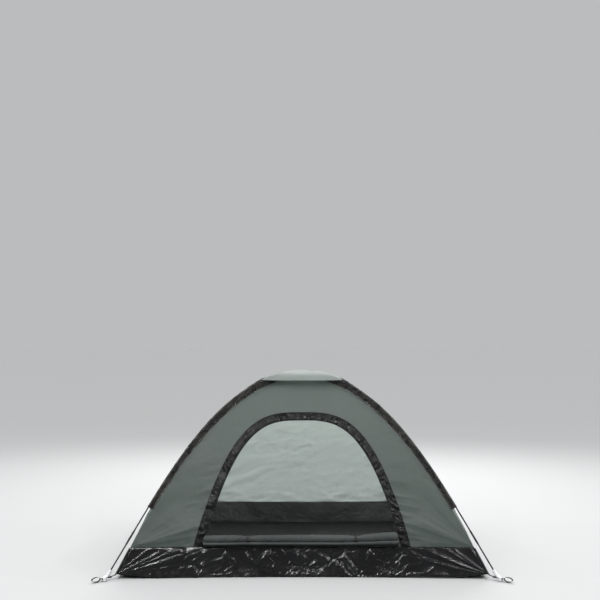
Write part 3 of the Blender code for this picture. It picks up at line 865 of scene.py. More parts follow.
@dataclass(frozen=True)
class Webbing:
    """Woven tape or twisted thread with slanting ribs."""

    name: str
    colour: Colour
    highlight: Colour
    roughness: float = 0.7
    ribs: float = 700.0  # a metre
    depth: float = 0.00035
    slant: float = 0.0025  # how far a rib slants one way before it slants back

    def material(self) -> Material:
        """The finish as a Blender material: a chevron of ribs, from the distance along the tape plus
        a triangle wave across it. The ribs' tops take the highlight colour, a painted highlight
        whose strength a mottle varies."""
        made, nodes, shader = new_finish(self.name, self.roughness)
        flat = nodes.add("ShaderNodeSeparateXYZ", {0: place_of(nodes, True)})
        zigzag = nodes.math("PINGPONG", flat.outputs[0], self.slant)
        along = nodes.math("ADD", flat.outputs[1], zigzag)
        wave = nodes.math("SINE", nodes.math("MULTIPLY", along, self.ribs * 2 * math.pi))
        height = nodes.math("MULTIPLY_ADD", wave, 0.5, 0.5)
        wear_and_highlight = nodes.math("MULTIPLY_ADD", mottle_of(nodes, 30.0), 0.5, 0.25)
        # Painted highlight: the ribs' tops are lightened towards the highlight colour.
        colour = nodes.mix(
            nodes.math("MULTIPLY", height, wear_and_highlight), linear(self.colour), linear(self.highlight)
        )
        nodes.put(shader.inputs["Base Color"], colour)
        nodes.put(shader.inputs["Normal"], nodes.bump(0.8, self.depth, height))
        return made


@dataclass(frozen=True)
class Rod:
    """Pulled glass fibre, or another drawn tube: fine streaks along it and scuffs."""

    name: str
    colour: Colour
    scuff: Colour
    roughness: float = 0.35
    streaks: float = 3000.0

    def material(self) -> Material:
        """The finish as a Blender material: noise stretched along the rod gives streaks, and a mottle
        marks the scuffed places."""
        made, nodes, shader = new_finish(self.name, self.roughness)
        flat = nodes.add("ShaderNodeMapping", {0: place_of(nodes, True), 3: (1.0, 0.012, 1.0)})
        streak = nodes.noise(flat.outputs[0], self.streaks, 2.0)
        scuffed = nodes.span(mottle_of(nodes, 26.0), (0.62, 1.0), (0.0, 0.6))
        wear_and_highlight = nodes.math("MULTIPLY", scuffed, streak)
        nodes.put(shader.inputs["Base Color"], nodes.mix(wear_and_highlight, linear(self.colour), linear(self.scuff)))
        gloss = nodes.span(streak, (0.3, 0.7), (self.roughness - 0.08, self.roughness + 0.14))
        nodes.put(shader.inputs["Roughness"], gloss)
        nodes.put(shader.inputs["Normal"], nodes.bump(0.35, 0.0001, streak))
        return made


@dataclass(frozen=True)
class Moulding:
    """Moulded plastic: a fine spark texture, and a darker, browner tone low down."""

    name: str
    colour: Colour
    shade: Colour
    roughness: float = 0.42
    ground_tone: Colour = (126, 118, 104)
    ground_tone_reach: float = 0.03

    def material(self) -> Material:
        """The finish as a Blender material: mottled colour, a darker, browner tone near the ground and a
        fine grain.
        """
        made, nodes, shader = new_finish(self.name, self.roughness)
        place = place_of(nodes, False)
        mottle = mottle_of(nodes, 45.0)
        colour = nodes.mix(mottle, linear(self.shade), linear(self.colour))
        # Near the ground the colour turns darker and browner, by the shared near-ground mask.
        dust = effect(nodes, Effect.DUST, {"Place": place, "Reach": self.ground_tone_reach}).outputs[0]
        colour = nodes.mix(nodes.math("MULTIPLY", dust, 0.35), colour, linear(self.ground_tone))
        nodes.put(shader.inputs["Base Color"], colour)
        nodes.put(
            shader.inputs["Roughness"],
            nodes.span(mottle, (0.0, 1.0), (self.roughness + 0.12, self.roughness)),
        )
        grain = nodes.noise(place, 900.0, 2.0)
        nodes.put(shader.inputs["Normal"], nodes.bump(0.25, 0.0002, grain))
        return made


@dataclass(frozen=True)
class Netting:
    """Insect mesh: fine threads with open holes between them."""

    name: str
    colour: Colour
    pitch: float = 0.0016
    thread_share: float = 0.42

    def material(self) -> Material:
        """The finish as a Blender material: the sheet is clear where both waves across the pattern
        are in a hole."""
        made, nodes, shader = new_finish(self.name, 0.75)
        flat = nodes.add("ShaderNodeSeparateXYZ", {0: place_of(nodes, True)})
        marks = []
        for axis in (0, 1):
            turn = nodes.math("MULTIPLY", flat.outputs[axis], 1 / self.pitch)
            place = nodes.math("PINGPONG", turn, 0.5)
            marks.append(nodes.math("LESS_THAN", place, self.thread_share / 2))
        solid = nodes.math("MAXIMUM", *marks)
        tones = (linear(self.colour, 0.8), linear(self.colour, 1.25))
        nodes.put(shader.inputs["Base Color"], nodes.mix(mottle_of(nodes, 12.0), *tones))
        nodes.put(shader.inputs["Alpha"], solid)
        return made


class Finishes:
    """Every finish of the tent, made once."""

    def __init__(self) -> None:
        """Builds the materials."""
        film = {"threads": 620.0, "crease_scale": 14.0, "crease_depth": 0.003}
        self.outer = Cloth(
            "grey_cloth_outside", (44, 49, 47), (37, 42, 40), 0.58,
            sheen=0.03, dust=0.06, through=0.42,
        ).material()
        self.inner = Cloth(
            "grey_cloth_coated_inside", (190, 196, 193), (180, 186, 183), 0.42,
            crease_depth=0.002, through=0.62,
        ).material()
        self.cap = Cloth(
            "pale_cap_cloth", (124, 130, 127), (116, 122, 119), 0.5,
            crease_depth=0.0008, through=0.5,
        ).material()
        # The rolled door's copy of the grey cloth: its colour is partly the cloth's own and partly painted
        # shade, for the light that the dense roll does not let through.
        self.rolled = Cloth(
            "grey_cloth_rolled_painted_shade", (61, 65, 64), (50, 54, 53), 0.7,
            crease_scale=14.0, crease_depth=0.003, specular=0.25,
        ).material()
        # The sleeve cloth's lighter mottle tone is partly the cloth's own uneven tone and partly painted
        # sheen, for light patches where the black cloth catches the light.
        self.black = Cloth(
            "black_sleeve_cloth_painted_sheen", (60, 58, 56), (20, 20, 20), 0.30,
            mottle_scale=13.0, crease_scale=30.0, crease_depth=0.003, sheen=0.05,
        ).material()
        self.trim = Cloth(
            "black_trim_cloth", (24, 24, 24), (8, 8, 8), 0.33,
            mottle_scale=11.0, crease_scale=26.0, crease_depth=0.003, specular=0.34,
        ).material()
        self.film = Cloth(
            "black_film", (26, 26, 27), (20, 20, 21), 0.17,
            threads=620.0, weave_depth=0.00008, crease_scale=60.0, crease_depth=0.0003,
            crease_sharpness=2.2, gloss_spread=0.1, dust=0.10, dust_reach=0.06,
        ).material()
        # Painted light: the black film's floor is coloured grey, standing in for the light that reaches
        # the inside of the tub.
        self.painted_light_floor_film = Cloth(
            "black_film_painted_light_inside", (72, 72, 72), (60, 60, 60), 0.75, dust=0.12, specular=0.15, **film
        ).material()
        # Painted light: the inner faces of the tub's black film are coloured a lighter grey still,
        # standing in for the light that reaches them.
        self.painted_light_tub_inside = Cloth(
            "black_film_tub_painted_light_inside", (136, 136, 136), (117, 117, 117), 0.6, specular=0.3, **film
        ).material()
        self.webbing = Webbing("black_webbing_tape", (22, 22, 23), (58, 58, 60)).material()
        self.rod = Rod("black_glass_fibre_rod", (20, 20, 21), (92, 90, 86)).material()
        self.ferrule = Rod("black_ferrule", (26, 26, 27), (120, 120, 118), 0.28).material()
        self.moulding = Moulding("pale_moulded_plastic", (218, 217, 219), (196, 195, 196)).material()
        self.dark_moulding = Moulding("black_moulded_plastic", (30, 30, 31), (22, 22, 23), 0.38).material()
        self.netting = Netting("black_netting", (26, 26, 27)).material()
        fine = {"ribs": 2200.0, "depth": 0.0001}
        self.thread = Webbing("black_thread", (34, 34, 35), (70, 70, 72), **fine).material()
        self.pale_thread = Webbing("pale_thread", (120, 126, 123), (170, 176, 172), **fine).material()


# Cloth relief


Ray = tuple[float, float, float]  # a corner fold's angle in degrees, its length and its slope


def corner_folds(x: Array, up: Array, rays: Sequence[Ray], spread: float, seed: int) -> Array:
    """Long straight folds that run out of a lower corner, each a crest.

    Args:
        x: across, from the corner.
        up: up the cloth.
        rays: the folds.
        spread: how fast a fold widens with the distance from the corner.
        seed: turns the folds a little.

    Returns:
        Heights: the slope times how far a place lies inside the fold's width.
    """
    total = np.zeros(np.broadcast(x, up).shape)
    for index, (angle, length, slope) in enumerate(rays):
        turn = math.radians(angle + 2.5 * float(hashed(np.array(index), np.array(seed), 3)))
        along = x * math.cos(turn) + up * math.sin(turn)
        beside = up * math.cos(turn) - x * math.sin(turn)
        width = 0.003 + spread * np.maximum(along, 0)
        crest = np.maximum(width - np.hypot(beside, 0.04 * width), 0)
        fade = ramp(along, 0.0, 0.03) * (1 - ramp(along, 0.5 * length, length))
        total = total + slope * crest * fade
    return total


@dataclass(frozen=True)
class Folds:
    """How a wall's cloth folds, as heights over its flat pattern.

    The height is a broad billow, long slanting folds, fans of folds that run out of the corners,
    puckers along the seams, and a crumple along the lower seam.
    """

    seed: int
    billow: float = 0.0035
    slant: float = 0.0012
    slant_angle: float = math.radians(18)
    pucker: float = 0.0010
    crumple: float = 0.0
    foot_half: float = 0.94  # half of the cloth's width at the seam
    ray_spread: float = 0.16  # how fast a corner's fold widens on its way
    rays: tuple[Ray, ...] = (
        (9.0, 0.50, 0.22),
        (17.0, 0.52, 0.38),
        (26.0, 0.46, 0.34),
        (36.0, 0.40, 0.26),
        (46.0, 0.36, 0.18),
        (57.0, 0.52, 0.16),
        (66.0, 0.42, 0.30),
    )

    def height(self, x: Array, up: Array, half: Array, top: float) -> Array:
        """The relief at places of the flat pattern.

        Args:
            x: across, from the middle.
            up: along the cloth, from the tub's seam.
            half: half of the cloth's width there.
            top: the length of the cloth, up from the seam.

        Returns:
            Heights, pressed to nothing at the seams.
        """
        edge = half - np.abs(x)
        seam = np.minimum(edge, np.minimum(up, top - up))
        broad = soft_noise(x / 0.34, up / 0.30, self.seed) * self.billow
        total = broad * ramp(seam, 0.0, 0.16)
        turn_x = x * math.cos(self.slant_angle) + up * math.sin(self.slant_angle)
        turn_y = up * math.cos(self.slant_angle) - x * math.sin(self.slant_angle)
        warp = 0.05 * soft_noise(x / 0.2, up / 0.2, self.seed + 1)
        lines = layered(soft_noise, turn_x / 0.30, (turn_y + warp) / 0.055, self.seed + 2, 2)
        total = total + self.slant * lines * ramp(seam, 0.0, 0.05)
        for sign in (-1, 1):
            inward = self.foot_half - sign * x
            fan = corner_folds(inward, up, self.rays, self.ray_spread, self.seed + 5 + sign)
            total = total + fan * ramp(up, 0.0, 0.02)
        ripple = soft_noise(x / 0.035, up / 0.11, self.seed + 8) * np.exp(-up / 0.07)
        ripple = ripple + soft_noise(up / 0.045, edge / 0.13, self.seed + 9) * np.exp(-edge / 0.06)
        total = total + self.pucker * ripple * ramp(seam, 0.0, 0.012)
        if self.crumple:
            fine = layered(facet_noise, x / 0.085 + 2 * warp, up / 0.05, self.seed + 11, 2)
            patch = ramp(soft_noise(x / 0.22, up / 0.15, self.seed + 12), -0.25, 0.5)
            low = np.exp(-up / 0.16) + 0.55 * patch
            total = total + self.crumple * fine * low * ramp(seam, 0.0, 0.02)
            small = layered(facet_noise, x / 0.034 + 3 * warp, up / 0.020, self.seed + 14, 2)
            low = np.exp(-up / 0.11) + 0.45 * patch
            total = total + 0.36 * self.crumple * small * low * ramp(seam, 0.0, 0.008)
        return total


@dataclass
class Walls:
    """The four cloth walls, each wrinkled and coated on its inner side."""

    finishes: Finishes
    thickness: float = 0.0006
    rows: int = 130
    columns: int = 190
    opening: tuple[float, float] = (0.552, 0.747)
    arch_power: float = 3.1
    pucker: float = 0.0056
    front_rows: int = 76
    front_columns: int = 440
    folds: dict[Side, Folds] = field(
        default_factory=lambda: {
            Side.FRONT: Folds(11, billow=0.0040, slant=0.0012, pucker=0.0030),
            Side.REAR: Folds(37, billow=0.0060, slant=0.0055, pucker=0.0030, crumple=0.0095),
            Side.LEFT: Folds(53, billow=0.0050, slant=0.0016, pucker=0.0022, foot_half=0.70),
            Side.RIGHT: Folds(71, billow=0.0050, slant=0.0016, pucker=0.0022, foot_half=0.70),
        }
    )

    def relief(self, side: Side, x: Array, up: Array) -> Array:
        """The height of a side's folds at places of its flat pattern."""
        radius = FORM.ridge.at(FORM.distance_of(side, up))[0]
        top = float(FORM.up_of(side, FORM.roof))
        height = self.folds[side].height(x, up, FORM.half_width(side, radius), top)
        return height + self.trim_puckers(x, up) if side is Side.FRONT else height

    def trim_puckers(self, x: Array, up: Array) -> Array:
        """Short puckers that run out from the doorway's trim, fading with the distance from it.

        The distance is the arch's equation at the place, over the length of its gradient.
        """
        half, tall, power = *self.opening, self.arch_power
        share = np.abs(x) / half
        slope = np.hypot(power * share ** (power - 1) / half, 1 / tall)
        away = np.maximum((share**power + up / tall - 1) / slope, 0.0)
        lean = up + 0.25 * away + 0.01 * soft_noise(up / 0.05, away / 0.05, 801)
        fine = soft_noise(lean / 0.017, x / 0.09, 802)
        broad = soft_noise(lean / 0.041, x / 0.16, 803)
        fade = np.exp(-(((away - 0.045) / 0.055) ** 2)) * (1 - ramp(up, 0.28, 0.50))
        return self.pucker * (0.7 * fine + broad) * fade * ramp(up, 0.0, 0.02)

    def surface(self, side: Side, x: Array, up: Array, lift: Array) -> Array:
        """Points over the flat pattern of a folded wall.

        Args:
            side: which wall.
            x, up: places of the flat pattern, up from the tub's seam.
            lift: outwards from the cloth.

        Returns:
            Points, with X, Y and Z on the last axis.
        """
        x, up, lift = np.broadcast_arrays(x, up, lift)
        base = FORM.flat_point(side, x, up)
        step = 0.001
        along = FORM.flat_point(side, x + step, up) - base
        rise = base - FORM.flat_point(side, x, up - step)
        normal = unit(np.cross(along, rise) * (-side.facing if side.wide else side.facing))
        relief = self.relief(side, x, np.maximum(up, 0.0))
        return base + normal * (lift + relief)[..., None]

    def arch(self, size: tuple[float, float], stations: int) -> tuple[Array, Array]:
        """The doorway's outline in the flat pattern, from its left foot to its right foot.

        The height is its full height times one minus the share of the half width to a power.
        """
        x = size[0] * np.sin(np.linspace(-math.pi / 2, math.pi / 2, 1200))
        up = size[1] * (1 - np.abs(x / size[0]) ** self.arch_power)
        length = path_lengths(np.stack([x, up], 1))
        even = np.linspace(0, length[-1], stations)
        return np.interp(even, length, x), np.interp(even, length, up)

    @property
    def arch_share(self) -> float:
        """The doorway's share of its rectangle: the arch's power over one more than the power."""
        return self.arch_power / (self.arch_power + 1)

    def front_cells(self) -> tuple[Array, Array]:
        """The front wall's flat pattern as a horseshoe grid, from the doorway out to its edges.

        Each row lies a share of the way from the arch to the outer edge: up one ridge, over the
        roof's edge and down the other ridge.
        """
        count = 400
        distance = np.linspace(FORM.seam, FORM.roof, count)
        up = FORM.up_of(Side.FRONT, distance)
        half = FORM.half_width(Side.FRONT, FORM.ridge.at(distance)[0])
        rim = np.concatenate([np.stack([-half, up], 1), np.stack([half[::-1], up[::-1]], 1)])
        lengths = path_lengths(rim)
        corner = lengths[count - 1] / lengths[-1]
        places = np.linspace(0, 1, self.front_columns)
        places[np.abs(places - corner).argmin()] = corner
        places[np.abs(places - (1 - corner)).argmin()] = 1 - corner
        outer = np.stack([np.interp(places * lengths[-1], lengths, rim[:, k]) for k in (0, 1)], 1)
        inner = np.stack(self.arch(self.opening, self.front_columns), 1)
        share = np.linspace(0, 1, self.front_rows)[:, None, None] ** 1.15  # closer near the arch
        cells = inner * (1 - share) + outer * share
        return cells[..., 0], cells[..., 1]

    def whole_cells(self, side: Side) -> tuple[Array, Array]:
        """The flat pattern of a wall with no doorway."""
        distance = np.linspace(FORM.seam, FORM.roof, self.rows)[:, None]
        half = FORM.half_width(side, FORM.ridge.at(distance)[0])
        across = np.linspace(-1, 1, self.columns)[None]
        x, up = np.broadcast_arrays(across * half, FORM.up_of(side, distance))
        return x, up

    def build(self, side: Side) -> None:
        """Makes one wall."""
        x, up = self.front_cells() if side is Side.FRONT else self.whole_cells(side)
        smooth = FORM.flat_point(side, x, up)
        points = smooth + outward_normals(smooth, INSIDE) * self.relief(side, x, up)[..., None]
        skin = Skin()
        skin.sheet(points, np.stack([x, up], -1), self.thickness, INSIDE, (0, 1))
        made = skin.finish(f"{side.label}_wall_cloth", [self.finishes.outer, self.finishes.inner])
        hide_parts(f"{side.label}_wall")


@dataclass
class Tub:
    """The tub: four sides of crinkled film and the floor sheet."""

    finishes: Finishes
    thickness: float = 0.0004
    rows: int = 50
    wide_columns: int = 680
    side_columns: int = 420
    tuck: float = 0.016  # how far the film runs in under the floor
    off_ground: float = 0.0006
    floor_thickness: float = 0.0008
    floor_height: float = 0.0022  # of the sheet's upper face, where it lies flat
    floor_crumple: float = 0.0045
    crinkle: float = 0.0066
    fold_spread: float = 0.048  # how fast a corner's fold widens on its way
    corner_gains: tuple[tuple[int, float], ...] = ((-1, 0.85), (1, 1.3))  # by the corner's sign in X
    raised_edge: float = 0.016  # the front film's lower edge stands up towards the right corner
    folds: tuple[Ray, ...] = (
        (11.0, 0.40, 0.24),
        (16.0, 0.46, 0.36),
        (21.0, 0.50, 0.38),
        (27.0, 0.48, 0.38),
        (34.0, 0.38, 0.34),
        (43.0, 0.30, 0.30),
        (60.0, 0.22, 0.22),
    )

    def relief(self, x: Array, up: Array, half: float, seed: int) -> Array:
        """Crumpled film: flat facets of three sizes, thicker in some places than in others, and
        sharp folds that run into the lower corners.

        Args:
            x: across, from the middle.
            up: height up the film, from the floor.
            half: half of the side's width at the floor.
            seed: chooses the pattern.

        Returns:
            Heights outwards.
        """
        warp_x = 0.03 * soft_noise(x / 0.11, up / 0.09, seed)
        warp_y = 0.02 * soft_noise(x / 0.08, up / 0.10, seed + 1)
        a, b = x + warp_x, up + warp_y
        total = facet_noise(a / 0.15, b / 0.10, seed + 2)
        total = total + 0.42 * facet_noise((a + b) / 0.055, (b - 0.4 * a) / 0.06, seed + 3)
        busy = ramp(soft_noise(x / 0.17, up / 0.3, seed + 5), -0.35, 0.45)
        total = total + 0.30 * busy * facet_noise((a - b) / 0.022, (b + 0.5 * a) / 0.034, seed + 4)
        for index, lean in enumerate((0.9, -0.5, 0.2)):
            line = soft_noise((a - lean * b) / 0.045, (b + lean * a) / 0.10, seed + 20 + index)
            patch = ramp(soft_noise(a / 0.06, b / 0.07, seed + 30 + index), 0.05, 0.5)
            total = total + 0.40 * patch * np.maximum(1 - np.abs(line) / 0.28, 0)
        away = half - np.abs(x)
        total = self.crinkle * total * (0.25 + 0.75 * ramp(away, 0.10, 0.42))
        for sign, gain in self.corner_gains:
            fan = corner_folds(half - sign * x, up, self.folds, self.fold_spread, seed + 7 + sign)
            total = total + gain * fan
        return total

    def side_points(self, side: Side) -> tuple[Array, Array]:
        """The points and flat pattern of one side, from the seam down and in under the floor."""
        columns = self.wide_columns if side.wide else self.side_columns
        across = np.linspace(-1, 1, columns)[None]
        lift = FORM.lift_of_floor(across, 1.0) if side.wide else FORM.lift_of_floor(1.0, across)
        if side is Side.FRONT:
            lift = lift + self.raised_edge * ramp(across, 0.52, 0.60) * (1 - ramp(across, 0.66, 0.94))
        rows = np.linspace(0, 1, self.rows)[:, None]
        foot = FORM.ridge.distance_at_height(lift + 0.001)
        distance = foot + (FORM.seam - foot) * rows
        smooth = FORM.wall_point(side, across, distance)
        half = (FORM.width if side.wide else FORM.depth) / 2
        up = (distance - foot) * np.ones_like(across)
        x = across * FORM.half_width(side, FORM.ridge.at(distance)[0])
        height = self.relief(x, up, half, 100 + 10 * list(Side).index(side))
        edge = (1 - np.abs(across)) * half
        pin = ramp(edge, 0.0, 0.02) * ramp(1 - rows, 0.0, 0.06) * (0.4 + 0.6 * ramp(rows, 0.0, 0.10))
        points = smooth + outward_normals(smooth, INSIDE) * (height * pin)[..., None]
        points[..., 2] = np.maximum(points[..., 2], self.off_ground)
        inward = -side.facing * (np.array([0.0, 1.0, 0.0]) if side.wide else np.array([1.0, 0.0, 0.0]))
        reach = np.linspace(1, 0, 6)[:-1, None, None]
        under = points[0][None] + reach * self.tuck * inward
        under[..., 2] = np.maximum(points[0][None, :, 2] - self.off_ground, 0.0002)
        below = np.stack(np.broadcast_arrays(x[0], -self.tuck * reach[..., 0]), -1)
        return np.concatenate([under, points]), np.concatenate([below, np.stack([x, up], -1)])

    def build_side(self, side: Side) -> None:
        """Makes one side of the tub."""
        points, flat = self.side_points(side)
        skin = Skin()
        skin.sheet(points, flat, self.thickness, INSIDE, (0, 1))
        # The tub film's inner layer is painted light in grey.
        made = skin.finish(f"tub_{side.label}_film", [self.finishes.film, self.finishes.painted_light_tub_inside])
        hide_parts(f"tub_{side.label}")

    def build_floor(self, columns: int = 150, rows: int = 112) -> None:
        """Makes the floor sheet, with slack edges, corners off the ground and soft crumples."""
        x, y = np.meshgrid(np.linspace(-1, 1, columns), np.linspace(-1, 1, rows))
        lift = FORM.lift_of_floor(x, y)
        distance = FORM.ridge.distance_at_height(lift)
        radius, slack = FORM.ridge.at(distance)[0], FORM.slack(distance)
        place_x = x * (FORM.share[0] * radius - FORM.side_bow * slack * (1 - y**2))
        place_y = y * (FORM.share[1] * radius - FORM.wide_bow * slack * (1 - x**2))
        folds = layered(facet_noise, place_x / 0.24, place_y / 0.17, 201, 3)
        edge = np.minimum(1 - np.abs(x), 1 - np.abs(y))
        crumple = self.floor_crumple * (folds * 0.5 + 0.5) * ramp(edge, 0.0, 0.08)
        points = np.stack([place_x, place_y, self.floor_height + lift + crumple], -1)
        points[..., :2] *= 0.999  # a little inside the tub's own foot
        skin = Skin()
        skin.sheet(points, points[..., :2], self.floor_thickness, points - UP)
        # The floor film's grey colour is painted light.
        made = skin.finish("floor_film", [self.finishes.painted_light_floor_film])
        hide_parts("floor_sheet")


@dataclass
class Roof:
    """The netting that closes the top, and the rain cap over it."""

    finishes: Finishes
    cap_radius: float = 0.308
    cap_lift: float = 0.0092
    cap_thickness: float = 0.0007
    hem: float = 0.012
    cap_steps: int = 48
    vent_steps: int = 34
    edge_share: float = 0.7  # the way from the middle out to an edge, as a share of the radius
    crown: float = 0.0010  # how much the cap's middle rises
    sag: float = 0.0036  # how far an edge hangs between its corners, and all of the rim
    rim_sag: float = 0.0012
    fold: float = 0.0011  # the depth of its broad folds, of puckers at the hem, and of the hem
    pucker: float = 0.0005
    hem_rise: float = 0.0007
    hem_lines: list[Line] = field(default_factory=list)

    def dome(self, radius: float, bow: Bow, lift: float, steps: int) -> tuple[Array, Array, Array]:
        """A sheet over the middle, whose corners lie on the diagonals.

        The height at a place is the bow's where its radius is the larger of the two shares of the
        way to the edge.

        Returns:
            The points, their ring share from 0 in the middle to 1 at the edge, and flat places.
        """
        line = np.linspace(-1, 1, 2 * steps + 1)
        x, y = np.meshgrid(line, line)
        ring = np.maximum(np.abs(x), np.abs(y))
        out, height = bow.at(bow.distance_at_radius(ring * radius), lift)
        scale = out / np.where(ring == 0, 1, ring)
        points = np.stack([FORM.share[0] * x * scale, FORM.share[1] * y * scale, height], -1)
        flat = np.stack([x * radius * FORM.share[0], y * radius * FORM.share[1]], -1)
        return points, ring, flat

    def build_vent(self) -> None:
        """Makes the netting sheet."""
        edge = float(FORM.ridge.at(FORM.roof)[0])
        points, _, flat = self.dome(edge, FORM.ridge, 0.0, self.vent_steps)
        skin = Skin()
        skin.grid(points, flat)
        made = skin.finish("roof_vent_netting", [self.finishes.netting])
        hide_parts("roof_vent")

    def build_cap(self) -> None:
        """Makes the rain cap: a thin sheet, doubled at its hem, that hangs a little between poles."""
        points, ring, flat = self.dome(self.cap_radius, FORM.upper_pole, self.cap_lift, self.cap_steps)
        x, y = flat[..., 0], flat[..., 1]
        inward = (1 - ring) * self.cap_radius * self.edge_share
        low = np.minimum(np.abs(x) / FORM.share[0], np.abs(y) / FORM.share[1]) / self.cap_radius
        crown = self.crown * (1 - ramp(ring, 0.0, 0.6))
        sag = self.sag * ramp(ring, 0.55, 1.0) * (1 - low**4) + self.rim_sag * ramp(ring, 0.8, 1.0)
        folds = layered(soft_noise, x / 0.16, y / 0.13, 301, 2) * self.fold
        puckers = soft_noise((x + y) / 0.021, (x - y) / 0.021, 305) * self.pucker * np.exp(-inward / 0.02)
        hem = self.hem_rise * (1 - ramp(inward, self.hem, self.hem + 0.003))
        height = (folds + puckers + hem) * ramp(inward, -0.02, 0.01) + crown - sag
        points = points + outward_normals(points, INSIDE) * height[..., None]
        skin = Skin()
        skin.sheet(points, flat, self.cap_thickness, INSIDE)
        rows = round(self.cap_steps * self.hem / self.cap_radius / self.edge_share)
        normal = outward_normals(points, INSIDE)
        for line in (np.s_[rows], np.s_[-1 - rows], np.s_[:, rows], np.s_[:, -1 - rows]):
            self.hem_lines.append((points[line][rows:-rows], normal[line][rows:-rows]))
        made = skin.finish("rain_cap_cloth", [self.finishes.cap])
        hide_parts("rain_cap")


@dataclass
class Poles:
    """The two bows: bare ends, ferrules and the joined sections, as round drawn rods."""

    finishes: Finishes
    radius: float = 0.00395
    tip: float = 0.033
    ferrule_start: float = 0.22
    ferrule_end: float = 0.30
    joint: float = 0.26
    ferrule_radius: float = 0.0053
    ferrule_bore: float = 0.0042
    sides: int = 20
    step: float = 0.016
    joint_gap: float = 0.0002

    def rod(self, skin: Skin, corner: Corner, distances: Array, radius: Array) -> None:
        """Adds a round rod along a pole."""
        centres, outward = FORM.pole_path(corner, distances)
        rings = circle(centres, outward, FORM.across_of(corner), radius, self.sides)
        skin.tube(rings, ring_flat(distances, self.radius, self.sides))

    def build(self) -> None:
        """Makes the end sections, the ferrules and the two joined runs."""
        for corner in Corner:
            self.build_leg(corner)
            self.build_ferrule(corner)
        for name, front, rear in (
            ("pole_run_upper", Corner.FRONT_LEFT, Corner.REAR_RIGHT),
            ("pole_run_lower", Corner.FRONT_RIGHT, Corner.REAR_LEFT),
        ):
            self.build_run(name, front, rear)

    def build_leg(self, corner: Corner) -> None:
        """Makes the bare end section, with a chamfer at its tip."""
        skin = Skin()
        chamfer = [self.tip, self.tip + 0.001]
        middle = np.arange(self.tip + 0.01, self.joint - 0.001, self.step)
        distances = np.concatenate([chamfer, middle, [self.joint - self.joint_gap]])
        radius = np.full(len(distances), self.radius)
        radius[0] *= 0.8
        self.rod(skin, corner, distances, radius)
        made = skin.finish(f"pole_leg_rod_{corner.label}", [self.finishes.rod], sharp=40)
        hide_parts(f"pole_leg_{corner.label}")

    def build_ferrule(self, corner: Corner) -> None:
        """Makes the ferrule: a tube with rolled ends and a crimped groove near each of them."""
        share = np.array([0, 0.012, 0.03, 0.10, 0.115, 0.13, 0.5, 0.87, 0.885, 0.90, 0.97, 0.988, 1.0])
        swell = np.array([-0.0005, 0.0, 0.0001, 0, -0.00035, 0, 0, 0, -0.00035, 0, 0.0001, 0.0, -0.0005])
        distances = self.ferrule_start + (self.ferrule_end - self.ferrule_start) * share
        centres, outward = FORM.pole_path(corner, np.concatenate([distances, distances[::-1]]))
        radius = np.concatenate([self.ferrule_radius + swell, np.full(len(share), self.ferrule_bore)])
        rings = circle(centres, outward, FORM.across_of(corner), radius, self.sides)
        rings = np.concatenate([rings, rings[:1]])
        lengths = path_lengths(rings[:, 0])
        skin = Skin()
        skin.tube(rings, ring_flat(lengths, self.ferrule_radius, self.sides), capped=False)
        made = skin.finish(f"ferrule_tube_{corner.label}", [self.finishes.ferrule], sharp=40)
        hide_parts(f"ferrule_{corner.label}")

    def build_run(self, name: str, front: Corner, rear: Corner) -> None:
        """Makes the joined sections from one end section over the crown to the other."""
        bow = FORM.pole(front)
        distances = np.linspace(self.joint + self.joint_gap, bow.length, 90)
        rise, outward = FORM.pole_path(front, distances)
        fall, other = FORM.pole_path(rear, distances[-2::-1])
        centres = np.concatenate([rise, fall])
        directions = np.concatenate([outward, other])
        lengths = path_lengths(centres)
        radius = np.full(len(centres), self.radius)
        rings = circle(centres, directions, FORM.across_of(front), radius, self.sides)
        skin = Skin()
        skin.tube(rings, ring_flat(lengths, self.radius, self.sides))
        made = skin.finish(f"{name}_rod", [self.finishes.rod], sharp=40)
        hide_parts(name)


